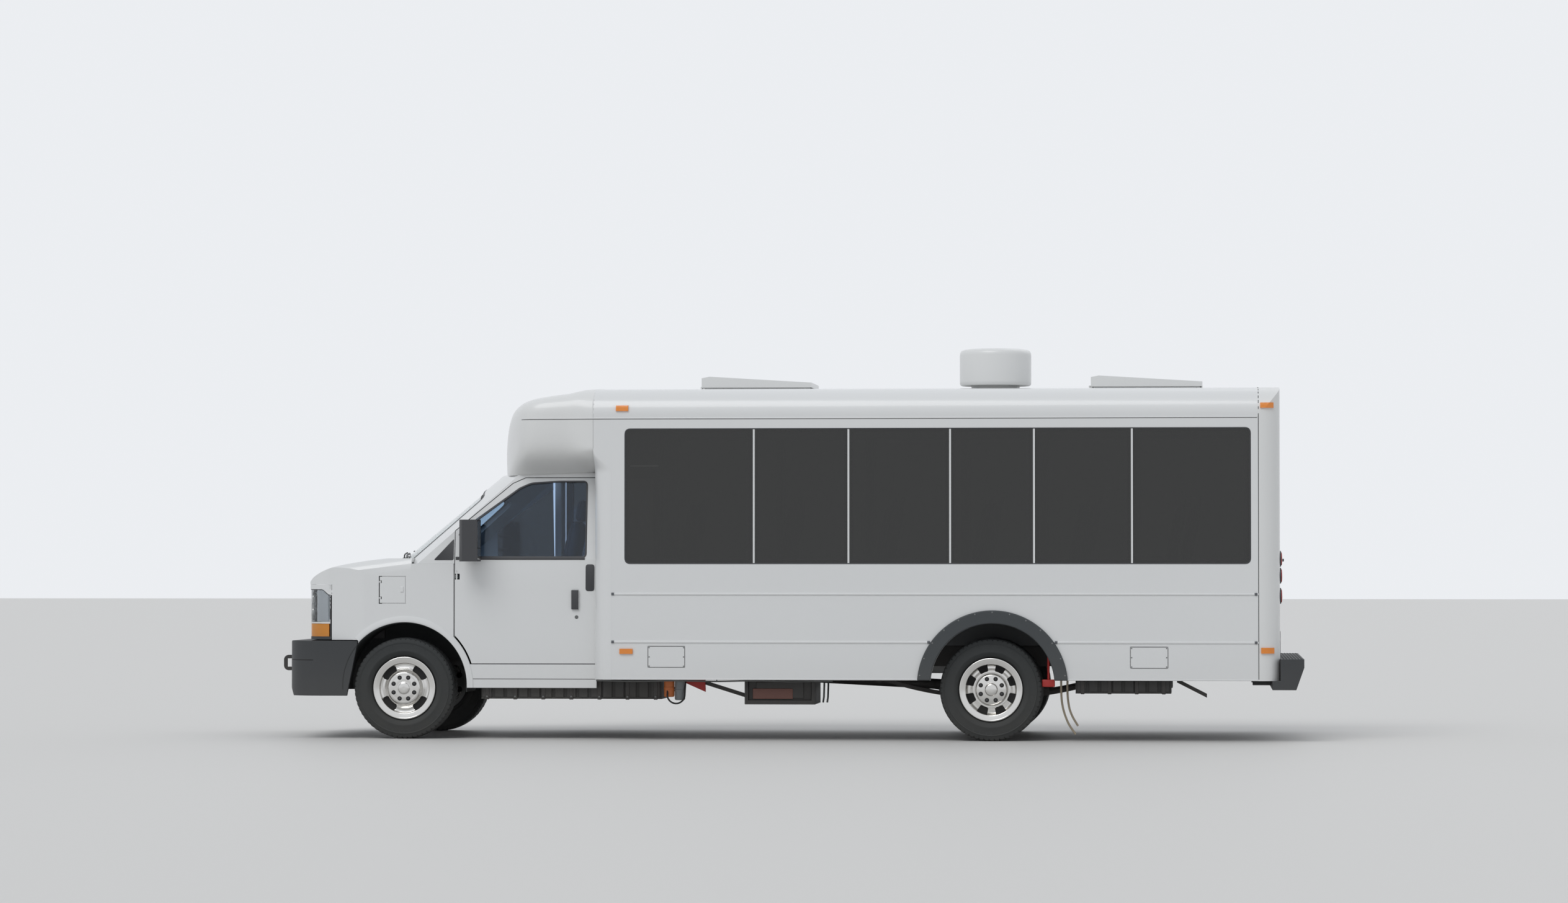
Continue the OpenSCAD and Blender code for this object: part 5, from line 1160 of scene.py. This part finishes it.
print(len(cowl_slots), "slots in the cowl")

# %% Cab door
door = nodes["cab_door"]["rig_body"]
window_line = [(-465, 1408), (-465, 1583), (-570, 1670), (-890, 1902), (-972, 1936), (-1174, 1948),
               (-1384, 1948), (-1384, 1408)]


def grown(outline, by):
    """Each corner moved out by about the given length, away from the outline's middle."""
    outline = np.asarray(outline, float)
    middle = (outline.max(0) + outline.min(0)) / 2
    return middle + (outline - middle) * (1 + by / np.abs(outline - middle).max(0))


door_line = dense_loop(rounded_outline(grown(window_line, 19), 30, 7), 90)
piece("door_window_gasket", [ribbon(on_cab(door_line, 1), cab_outward(door_line, 1), strip_section(13, 3, 9),
                                    closed=True)], mirror_plastic, body=door)
belt_line = dense([(-402, 1380), (-1396, 1380)], 120)
piece("door_belt_strip", [ribbon(on_cab(belt_line, 1), cab_outward(belt_line, 1), strip_section(24, 5, 2))],
      mirror_plastic, body=door)
handle_x = axle_front - 1327.0
handle = rounded_box((handle_x - 26, cab_half - 1, 990), (handle_x + 32, cab_half + 18, 1138), 6)
piece("door_handle", [handle], mirror_plastic, body=door)
lock = ring_plate([(14, 0), (13, 2.4), (9, 3), (8, 1.6), (0.1, 1.6)], (axle_front - 1334, cab_half, 932),
                  1, 28)
piece("door_lock", [lock], dull_steel, body=door)
flap_rear, flap_front, flap_low, flap_high = axle_front - 20, axle_front + 165, 1032, 1245
bead, bead_in, bead_out = 4.5, cab_half - 12, cab_half - 2
surround = [rounded_box((flap_rear, bead_in, flap_low), (flap_rear + bead, bead_out, flap_high), 1)]
surround += [rounded_box((flap_rear, bead_in, z), (flap_front, bead_out, z + bead), 1)
             for z in (flap_low, flap_high - bead)]
piece("charging_flap_surround", surround, white_paint)
plate_line = rounded_outline(rectangle(-1403, -1470, 1130, 1334), 22, 6)
piece("door_pillar_plate", [cab_plate(plate_line, 1, 4)], mirror_plastic, body=door)
sail_line = dense_loop(rounded_outline([(-232, 1366), (-386, 1366), (-386, 1530)], 14, 5), 40)
piece("cab_corner_sails", [cab_plate(sail_line, 1, 2.5), cab_plate(sail_line[::-1], -1, 2.5)],
      mirror_plastic)
sills = [ribbon(on_cab(dense([(-512, 459), (rear, 459)], 200), side), (0, side, 0), strip_section(5, 0.8))
         for side, rear in ((1, -1484), (-1, -900))]
piece("cab_sill_seam", sills, seam_dark_and_painted_shadow)
print(len(door_line), "points round the door's window")

# %% Mirrors
mirror_back = axle_front - 604.4
for name, side in (("mirror_left", 1), ("mirror_right", -1)):
    faces = []
    for low, high in ((1462, 1660), (1372, 1452)):
        middle = (low + high) / 2
        across, up = rounded_outline(rectangle(-78, 78, low, high), 18, 6).T
        rings = [xyz(mirror_back - back, side * (1150 + across * size), middle + (up - middle) * size)
                 for size, back in ((1, -2), (1, 0.4), (0.97, 1.0))]
        faces.append(grid_form(rings, around=True, caps=True))
    piece(name + "_glass", faces, bright_steel, body=nodes[name]["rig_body"])
    print(name, len(faces), "glasses")

# %% [markdown]
# ## Seats
# A bus seat is moulded foam under woven cover that is sewn in panels, so each pad bulges between its
# seams. A pad is a rounded box with a crown: its faces swell by crown * (1 - u^2)(1 - v^2), u and v
# going from -1 to 1 across them, and a groove is pressed in along each seam. Piping runs round the edge.

# %% Cloth
threads = 110


def woven(name, colour):
    """Cloth: two crossed waves make the weave's height, and the shared surface makes its tone."""
    made = finish(name, colour, 0.85, patch=(6, 0.12), grain=(1200, 0.1), dust=(0.9, 0.0))
    tree = made.node_tree
    place = add(tree, "TexCoord").outputs["Object"]
    warp, weft = (add(tree, "TexWave", {"Vector": place, "Scale": threads, "Distortion": 0.3},
                      bands_direction=way).outputs["Fac"] for way in ("Y", "DIAGONAL"))
    height = calc(tree, "ADD", warp, weft)
    bump = add(tree, "Bump", {"Height": height, "Strength": 0.35, "Distance": 0.0006})
    tree.links.new(bump.outputs["Normal"], tree.nodes["Principled BSDF"].inputs["Normal"])
    return made


seat_cloth = woven("blue grey seat cloth", (0.075, 0.10, 0.16))
driver_cloth = woven("dark seat cloth", (0.05, 0.052, 0.06))
print("cloth with", threads, "threads to the metre")

# %% Pads
def pad(size, crown, seams):
    """A crowned pad about the origin, its crown towards +z. Seams are places in v where it is pressed in."""
    width, length, height = size
    u = np.sin(np.linspace(-np.pi / 2, np.pi / 2, 14))
    v = np.linspace(-1, 1, 16 + 6 * len(seams))
    for seam in seams:
        nearest = np.argsort(np.abs(v - seam))[:3]
        v[np.sort(nearest)] = seam + np.array([-0.045, 0, 0.045])
    u, v = np.meshgrid(u, v)
    round_u, round_v = (np.sqrt(np.clip(1 - np.abs(part) ** 7, 0, 1)) for part in (u, v))
    dent = sum((np.exp(-((v - seam) / 0.03) ** 2) for seam in seams), 0 * v)
    swell = (1 - u ** 2) * (1 - v ** 2)
    rim = height * 0.5 * round_u * round_v
    shell = [xyz(u * width / 2, v * length / 2, side)
             for side in (rim + crown * swell - 7 * dent * round_u, -rim)]
    corners, faces = grid_form(shell[0])
    count = len(corners)
    faces = faces + [[k + count for k in face[::-1]] for face in faces]
    return np.vstack([corners, shell[1].reshape(-1, 3)]), faces


def piping(size):
    """A sewn cord round a pad's edge."""
    w, l = size[0] / 2 - 3, size[1] / 2 - 3
    across, along = rounded_outline(rectangle(-w, w, -l, l), 26, 4).T
    loop = xyz(across, along, size[2] * 0.22)
    return ribbon(loop, (0, 0, 1), [(3, 0), (0, 3), (-3, 0), (0, -3)], closed=True)


def seat_pad(size, crown, seams, centre, lean_deg):
    """A pad with piping, leaned about the y axis: 0 lies flat, 90 faces forward."""
    return [moved(turned(form, lean_deg), centre) for form in (pad(size, crown, seams), piping(size))]


print(len(pad((425, 408, 92), 10, (-0.55, 0.55))[0]), "corners in a pad")

# %% Passenger seats
cabin_floor_z = 760.0
benches = [(body_front - 260 - 760 * i, 1) for i in range(6)]
benches += [(body_front - 900 - 760 * i, -1) for i in range(5)]
seat_size, back_size = (425, 408, 92), (600, 408, 78)
grab_handle = [(505, 330, 1770), (528, 335, 1832), (532, 420, 1843), (532, 600, 1843), (528, 690, 1832),
               (505, 695, 1770)]
cushions, backs, frames = {1: [], -1: []}, {1: [], -1: []}, []
for x, side in benches:
    for y in (510, 925):
        cushions[side] += seat_pad(seat_size, 10, (-0.55, 0.55), (x - 215, side * y, cabin_floor_z + 403), 0)
        backs[side] += seat_pad(back_size, 9, (-0.6, 0.6), (x - 444, side * y, cabin_floor_z + 748), 78.9)
    over_wheel = abs(x - 215 - flare_place[0]) < 760
    for y in ((360, 600) if over_wheel else (360, 1040)):
        foot = 936.0 if over_wheel and y > 545 else cabin_floor_z + 1
        frames.append(rod((x - 320, side * y, foot), (x - 320, side * y, cabin_floor_z + 352), 17, 10))
        frames.append(rounded_box((x - 360, side * y - 32, foot - 0.5),
                                  (x - 280, side * y + 32, foot + 7), 3, 2))
    frames += [rod((x - back, side * 310, cabin_floor_z + 348), (x - back, side * 1120, cabin_floor_z + 348),
                   13, 10) for back in (60, 330)]
    frames.append(tube(smooth_path([(x - back, side * y, z) for back, y, z in grab_handle], 4), 10, 8))
    frames += [rod((x - 372, side * y, 1110), (x - 505, side * y, 1772), 11, 8) for y in (330, 695)]
piece("passenger_seat_frames", frames, pack_black, stands_for=["passenger_seats"])
for side, name in ((1, "left"), (-1, "right")):
    for kind, forms in (("seat", cushions[side]), ("back", backs[side])):
        piece(f"passenger_{kind}_pads_{name}", forms, seat_cloth, smooth_deg=60)
print(len(cushions[1]) // 2 + len(cushions[-1]) // 2, "passenger places")

# %% Driver's seat
driver_x = axle_front - 700
driver_pads = (seat_pad((490, 470, 118), 16, (-0.55, 0.55), (driver_x - 250, 480, 982), 0)
               + seat_pad((640, 450, 104), 12, (-0.6, 0.6), (driver_x - 525, 480, 1345), 78.6)
               + seat_pad((165, 250, 76), 8, (), (driver_x - 618, 480, 1744), 78.6))
piece("driver_seat_pads", driver_pads, driver_cloth, smooth_deg=60)
pedestal = [rounded_box((driver_x - 400, 310, 742.5), (driver_x - 60, 650, 905), 12),
            rounded_box((driver_x - 470, 262, 900), (driver_x - 40, 698, 932), 10)]
pedestal += [rod((driver_x - 590, y, 1600), (driver_x - 606, y, 1700), 7, 10) for y in (430, 530)]
piece("driver_seat_base", pedestal, pack_black, stands_for=["driver_seat"])
print(len(driver_pads) // 2, "pads in the driver's seat")

# %% [markdown]
# ## Roof and tail
# The roof vent is a spun drum with a crowned lid. At the back are round lamps in rubber rings, the
# emergency door with its gasket and lever, a blank number plate and the tread on the bumper.

# %% Roof vent
def upright_turn(profile, centre, steps):
    """A profile of (radius, height) turned about an upright axis."""
    return moved(turned(revolved(profile, steps), 90, "X"), centre)


vent_profile = [(188, 0.5), (188, 26), (258, 26), (270, 30), (277, 42), (278, 60), (278, 262), (276, 280),
                (268, 296), (250, 306), (215, 312), (150, 316), (70, 318.5), (0.1, 319)]
vent = [upright_turn(vent_profile, (axle_front - 4487, 0, roof_middle), 96)]
piece("roof_vent_drum", vent, moulded_white, stands_for=["roof_vent"], smooth_deg=40)
print("the vent is", 2 * vent_profile[5][0], "mm across")

# %% Tail lamps
def facing_back(profile, y, z):
    """A profile of (radius, outwards) turned about a level axis that points out of the rear wall."""
    return moved(turned(revolved(profile, 40), 90, "Z"), (body_rear, y, z))


def rear_ribbon(box, radius, section):
    """A closed ribbon round a rectangle (y0, y1, z0, z1) on the rear wall, which faces -X."""
    y, z = rounded_outline(rectangle(*box), radius, 6).T
    return ribbon(xyz(body_rear, y, z), (-1, 0, 0), section, closed=True)


ring = [(60, -1), (60, 6), (57, 9), (53, 9), (51.5, 6), (51, -1)]
lens = [(50, 6), (49.6, 13.5), (46, 16), (36, 17.5), (20, 18.5), (0.1, 19)]
rings, lenses = (both([facing_back(profile, 1029, z) for z in (1376, 1249, 1097)])
                 for profile in (ring, lens))
high_lamp = rounded_box((body_rear - 15, -60, 2570), (body_rear - 0.5, 60, 2610), 4)
piece("tail_lamp_rings", rings, mirror_plastic)
piece("tail_lamp_lenses", lenses + [high_lamp], red_lens, stands_for=["tail_lamps"])
print(len(lenses), "round tail lamps")

# %% Rear door, plate and bumper
rear_door_body = nodes["rear_door"]["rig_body"]
glass_frames = [rear_ribbon((-330, 330, a, b), 32, strip_section(18, 4))
                for a, b in ((1420, 2120), (920, 1300))]
piece("rear_door_glass_gaskets", glass_frames, mirror_plastic, body=rear_door_body)
lever = [rounded_box((body_rear - 6, 300, 1340), (body_rear + 1, 392, 1392), 3),
         rod((body_rear - 5, 346, 1366), (body_rear - 34, 346, 1366), 11, 16),
         rounded_box((body_rear - 42, 250, 1355), (body_rear - 30, 362, 1377), 5)]
piece("rear_door_lever", lever, mirror_plastic, body=rear_door_body)
piece("rear_door_gasket", [rear_ribbon((-414, 414, 794, 2246), 12, strip_section(9, 2.5))], mirror_plastic)
plate = rounded_box((body_rear - 4, 560, 664), (body_rear - 0.5, 872, 822), 1.5)
piece("number_plate_frame", [rear_ribbon((556, 876, 660, 826), 10, strip_section(8, 6))], mirror_plastic)
piece("number_plate_blank", [plate], finish("plain plate", (0.62, 0.63, 0.64), 0.35, metal=0.2))
tread_x, tread_pitch = axle_rear - 2336, 22
treads = [rounded_box((x, -1196, 622.5), (x + 12, 1196, 626), 1.6, 2)
          for x in tread_x + tread_pitch * np.arange(7)]
piece("rear_bumper_tread", treads, tyre_rubber)
print(len(treads), "tread strips on the bumper")

# %% Tail seam
tail_seam_turn = np.radians(np.linspace(-39.6, 219.6, 160))
seam_way = xyz(0, np.cos(tail_seam_turn), np.sin(tail_seam_turn))
seam_start = np.array([body_rear + 161.0, 0, 1480.0])
tail_seam = reach_of(lambda x, y, z: body_beyond(y, z), seam_start, seam_way, 2200)
tail_along = np.gradient(tail_seam, axis=0)
tail_out = unit(xyz(0, tail_along[:, 2], -tail_along[:, 1]))
piece("tail_seam", [ribbon(tail_seam, tail_out, strip_section(6, 1.0))], seam_dark_and_painted_shadow)
print("the tail seam is at x", tail_seam[0, 0].round())

# %% [markdown]
# ## Side details
# Small things that the eye expects on a bus body: seams and screws round the access panels, screws
# round the flares, a raised edge on the skirt, and the gaskets and pulls of the entry door.

# %% Side details
def screw(x, side, z, stand=0.0, radius=5.0):
    """A flat rounded screw head on a side wall."""
    head = [(radius, -0.5), (radius, 1.2), (radius * 0.7, 2.2), (0.1, 2.4)]
    return ring_plate(head, (x, side * (body_half + stand), z), side, 10)


screws, panel_seams = [], []
panel_low, panel_high = 555, 713
for front_x in (axle_front - 1905, axle_front - 5547):
    panel_seams += [wall_loop((front_x - 1, front_x - 281, panel_low, panel_high), 6, 3, side,
                              strip_section(4, 0.6, 0.5)) for side in (1, -1)]
    screws += [screw(front_x - back, side, z) for back in (10, 272)
               for z in (panel_low + 9, 634, panel_high - 9) for side in (1, -1)]
for t in np.radians(np.linspace(8, 172, 13)):
    x, z = flare_place[0] + 552 * math.cos(t), flare_place[1] + 552 * math.sin(t)
    screws += [screw(x, side, z, 22, 6) for side in (1, -1)]
piece("panel_screws", screws, dull_steel)
piece("side_panel_seams", panel_seams, seam_dark_and_painted_shadow)
skirt_z, flare_reach = 466, 566
skirt = [ribbon(on_wall([(a, skirt_z), (b, skirt_z)], 1), (0, 1, 0), strip_section(10, 2.5))
         for a, b in ((rail_rear, flare_place[0] - flare_reach),
                      (flare_place[0] + flare_reach, body_front - 142))]
piece("skirt_edge", both(skirt[:1]) + [skirt[1]], white_paint)
print(len(screws), "screws")

# %% Entry leaves and grab rails
entry_front, entry_rear = 1948.0, 1168.0
leaf_meeting = (entry_front + entry_rear) / 2
pull_line = [(-1216, 1050), (-1232, 1065), (-1234, 1160), (-1232, 1255), (-1216, 1270)]
for name, x0, x1, pull_x in (("front", leaf_meeting, entry_front, leaf_meeting + 34),
                             ("rear", entry_rear, leaf_meeting, leaf_meeting - 34)):
    leaf = nodes["entry_leaf_" + name]["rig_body"]
    panes = [wall_loop((x0 + 60, x1 - 60, a, b), 32, 6, -1, strip_section(14, 3, 8))
             for a, b in ((465, 1130), (1190, 2030))]
    piece(f"entry_leaf_{name}_gaskets", panes, mirror_plastic, body=leaf)
    pull = tube(smooth_path([(pull_x, y, z) for y, z in pull_line], 5), 7, 12)
    piece(f"entry_leaf_{name}_pull", [pull], dull_steel, body=leaf)
nosings = [rounded_box((entry_rear + 4, y0, z), (entry_front - 4, y1, z + 3.5), 1.5, 2)
           for y0, y1, z in ((-940, -905, 549.5), (-740, -704, 759.5))]
piece("step_nosings", nosings, amber_lens)
rail_y, rail_z = 330, 2440
bars = [rod((x, -640, cabin_floor_z), (x, -640, 2612), 16, 14) for x in (entry_rear - 60, entry_front - 320)]
bars += [rod((body_rear + 150, side * rail_y, rail_z), (body_front - 60, side * rail_y, rail_z), 15, 12)
         for side in (1, -1)]
bars += [rod((x, side * rail_y, rail_z), (x, side * rail_y, 2618), 10, 10)
         for x in np.linspace(body_rear + 260, body_front - 160, 6) for side in (1, -1)]
piece("cabin_grab_rails", bars, dull_steel)
print(len(bars), "lengths of grab rail")

# %% [markdown]
# ## Under the floor
# Between the axles the photograph shows a coolant can in orange and one in grey behind a black cable
# loop, a red lifting bracket, a brown service panel, thin lines along the skirt and two straps.

# %% Coolant cans and cable loop
can_y = cab_half - 60.0
can_profile = [(0.1, 0), (30, 0), (37, 3), (40, 10), (40, 60), (42, 62), (42, 74), (40, 76), (40, 190),
               (42, 192), (42, 204), (40, 206), (40, 250), (36, 262), (26, 268), (24, 276), (0.1, 276)]
piece("coolant_can_orange", [upright_turn(can_profile, (axle_front - 2039, can_y, 324), 40)], canister_paint,
      stands_for=["coolant_canisters"])
grey_can = finish("grey canister plastic", (0.22, 0.24, 0.25), 0.45, patch=(8, 0.2), dust=(0.9, 0.15))
grey_profile = [(r, h * 300 / 276) for r, h in can_profile]
piece("coolant_can_grey", [upright_turn(grey_profile, (axle_front - 2121, can_y, 300), 40)], grey_can)
can_straps = [rounded_box((axle_front - dx - 20, 470.5, 542), (axle_front - dx + 20, can_y - 34, 578), 4)
              for dx in (2039, 2121)]
piece("coolant_can_brackets", can_straps, chassis_black)
loop_turn = np.radians(np.linspace(180, 360, 25))
loop_x, loop_z = axle_front - 2096 + 67 * np.cos(loop_turn), 342 + 67 * np.sin(loop_turn)
loop_path = xyz(loop_x, 996, loop_z)
leg = np.array([[0, -75, 130], [0, -37, 65]], float)
loop_path = np.vstack([loop_path[0] + leg, loop_path, loop_path[-1] + leg[::-1]])
piece("coolant_cable_loop", [tube(loop_path, 6.5, 10)], tyre_rubber)
print("the cans are", can_profile[-1][1], "mm high")

# %% Brackets, lines and straps
def upright_plate(outline, y0, y1):
    """An (x, z) outline between two upright planes, with chamfered edges."""
    outline = np.asarray(outline, float)
    middle = outline.mean(0)
    inset = middle + (outline - middle) * 0.985
    layers = ((inset, y0), (outline, y0 + 1.5), (outline, y1 - 1.5), (inset, y1))
    return grid_form([xyz(line[:, 0], y, line[:, 1]) for line, y in layers], around=True, caps=True)


red_outline = np.array([(-2163, 428), (-2163, 640), (-2306, 640), (-2313, 362)]) + [axle_front, 0]
red_plates = [upright_plate(red_outline, 884, 916),
              rounded_box((axle_front - 4977, 1040, 409), (axle_front - 4881, 1080, 465), 6),
              rod((axle_front - 4929, 1060, 460), (axle_front - 4929, 1060, 712), 9, 12)]
piece("red_brackets", red_plates, red_paint)
service_brown = finish("brown service panel", (0.17, 0.065, 0.05), 0.5, patch=(9, 0.3), dust=(0.9, 0.2))
piece("service_panel", [rounded_box((axle_front - 2988, 986, 312), (axle_front - 2683, 1002, 391), 4)],
      service_brown)
run_x = axle_front - np.linspace(1500, 3300, 24)
run_z = 452 - 5 * np.sin(np.linspace(0, 3 * np.pi, 24)) ** 2
lines = [tube(xyz(run_x, 1120, run_z), 6, 8)]
lines += [rod((x, 1120, 450), (x, 1120, 712), 5, 8) for x in axle_front - 1560 - 430 * np.arange(5)]
piece("service_lines", lines, dull_steel)
strap_line = [(0, 712), (-2, 560), (-3, 420), (0, 330), (6, 288)]
straps = [tube([(x + shift, 1080, z) for shift, z in strap_line], 7, 10)
          for x in (axle_front - 3231, axle_front - 3262)]
piece("hanging_straps", straps, tyre_rubber)
print(len(lines) + len(straps), "lines and straps")

# %% Battery straps and cables
pack_bolts, pack_straps = [], []
for x in np.linspace(axle_front - 640, axle_front - 1935, 7):
    pack_straps.append(rounded_box((x - 15, 943, 302), (x + 15, 954, 536), 3))
    pack_bolts += [ring_plate([(9, 0), (9, 6), (7, 8), (0.1, 8)], (x, 954, z), 1, 6) for z in (325, 515)]
for side in (1, -1):
    pack_straps += [side_box((x - 14, 1083, 355), (x + 14, 1093, 624), side, 3)
                    for x in np.linspace(axle_rear - 690, axle_rear - 1300, 4)]
piece("battery_straps", pack_straps, cast_steel)
piece("battery_strap_bolts", pack_bolts, dull_steel)
cable_path = smooth_path([(-640, 880, 545), (-1200, 890, 552), (-1900, 880, 545), (-2030, 930, 600),
                          (-2400, 860, 620), (-2700, 800, 575)], 8) + [axle_front, 0, 0]
orange_jacket = finish("orange cable jacket", (0.75, 0.22, 0.02), 0.45, patch=(20, 0.15), dust=(0.9, 0.1))
piece("high_voltage_cables", [tube(cable_path + shift, 11, 12) for shift in ([0, 0, 0], [0, -30, 6])],
      orange_jacket)
print(len(pack_bolts), "bolts on the battery straps")

# %% [markdown]
# ## Bumper groove
# The front bumper is one moulding whose two bands meet in a groove. Cutting it in would need a boolean,
# so a thin dark ribbon of painted shade is laid along the bumper's plan outline at the groove's height.

# %% Bumper groove
bumper_turn = np.radians(np.linspace(-82, 82, 90))


def bumper_beyond(x, y, _):
    """The front bumper's plan: straight sides, corners of 250 mm and a front bowed at 7 m."""
    y = np.abs(y)
    corner = np.hypot(np.maximum(x - axle_front - 656, 0), np.maximum(y - 750, 0)) - 250
    bowed = np.hypot(x - axle_front + bow_radius - bumper_reach, y) - bow_radius
    return np.maximum(bowed, np.where(y > 750, corner, -50))


bumper_way = xyz(np.cos(bumper_turn), np.sin(bumper_turn), 0)
groove = reach_of(bumper_beyond, np.array([axle_front + 560, 0, 602.0]), bumper_way, 1200)
groove_along = np.gradient(groove, axis=0)
groove_out = unit(xyz(groove_along[:, 1], -groove_along[:, 0], 0))
# A dark ribbon of painted shade stands for the groove.
piece("front_bumper_groove_shade", [ribbon(groove, groove_out, strip_section(7, 0.8))], painted_shade_and_frit)
print("the groove lies at z", groove[0, 2].round())

# %% [markdown]
# ## The solid nodes that show
# Where the solid's own shape is right, it stays and only its finish is set.

# %% Finishes of the solids
node_finish = {
    chassis_black: ["chassis_frame", "underfloor_brackets"],
    cast_steel: ["front_suspension", "knuckle_left", "knuckle_right", "rear_axle", "drive_motor",
                 "hood_electronics"],
    grille_plastic: ["grille"],
    cab_glass: ["windshield"],
    door_glass: ["cab_door_glass"],
    dark_glass: ["side_glass", "rear_door_glass", "entry_glass_front", "entry_glass_rear"],
    floor_covering: ["cabin_floor", "step_well"],
    amber_lens: ["marker_lamps"],
    trim_plastic: ["dashboard"],
    dull_steel: ["rim_front_left", "rim_front_right", "rims_rear_left", "rims_rear_right"],
}
for made, names in node_finish.items():
    for name in names:
        mesh = nodes[name].data
        mesh.materials.clear()
        mesh.materials.append(made)
print(sum(len(names) for names in node_finish.values()), "solids get a finish")

# %% [markdown]
# ## Floor and light
# A pale floor, a pale sky all round and two large soft lamps show every finish at about the colour
# it is written in.

# %% Floor and lamps
floor_finish = bpy.data.materials.new("pale studio floor")
floor_finish.use_nodes = True
floor_shader = floor_finish.node_tree.nodes["Principled BSDF"]
floor_shader.inputs["Base Color"].default_value = (0.62, 0.61, 0.59, 1)
floor_shader.inputs["Roughness"].default_value = 0.6
floor_mesh = bpy.data.meshes.new("studio_floor")
floor_mesh.from_pydata([(-90, -140, 0), (90, -140, 0), (90, 60, 0), (-90, 60, 0)], [], [(0, 1, 2, 3)])
floor_mesh.materials.append(floor_finish)
studio_floor = bpy.data.objects.new("studio_floor", floor_mesh)
bpy.context.scene.collection.objects.link(studio_floor)


def soft_sun(name, towards, spread_deg, strength):
    """A distant lamp that shines towards a direction, wide enough for soft shadows."""
    light = bpy.data.lights.new(name, "SUN")
    light.angle, light.energy = math.radians(spread_deg), strength
    lamp = bpy.data.objects.new(name, light)
    lamp.matrix_world = Vector(towards).to_track_quat("-Z", "Y").to_matrix().to_4x4()
    bpy.context.scene.collection.objects.link(lamp)


soft_sun("key_sun", (-0.35, -0.75, -1.0), 35, 1.1)
soft_sun("fill_sun", (0.6, 0.7, -0.8), 60, 0.35)

world = bpy.data.worlds.new("studio sky")
bpy.context.scene.world = world
world.use_nodes = True
sky = world.node_tree
sky_light = sky.nodes["Background"]
sky_light.inputs["Color"].default_value = (0.86, 0.90, 0.96, 1)
sky_light.inputs["Strength"].default_value = 0.62
sky_seen = add(sky, "Background", {"Color": (0.88, 0.90, 0.93, 1), "Strength": 0.95})
light_path = add(sky, "LightPath")
either = add(sky, "Math", {0: light_path.outputs["Is Camera Ray"], 1: light_path.outputs["Is Glossy Ray"]},
             operation="MAXIMUM")
either = add(sky, "Math", {0: either.outputs[0], 1: light_path.outputs["Is Transmission Ray"]},
             operation="MAXIMUM")
mixed_sky = add(sky, "MixShader", {0: either.outputs[0], 1: sky_light.outputs[0], 2: sky_seen.outputs[0]})
sky.links.new(mixed_sky.outputs[0], sky.nodes["World Output"].inputs["Surface"])
bpy.context.scene.view_settings.view_transform = "Standard"
print(len(bpy.data.lights), "lamps")
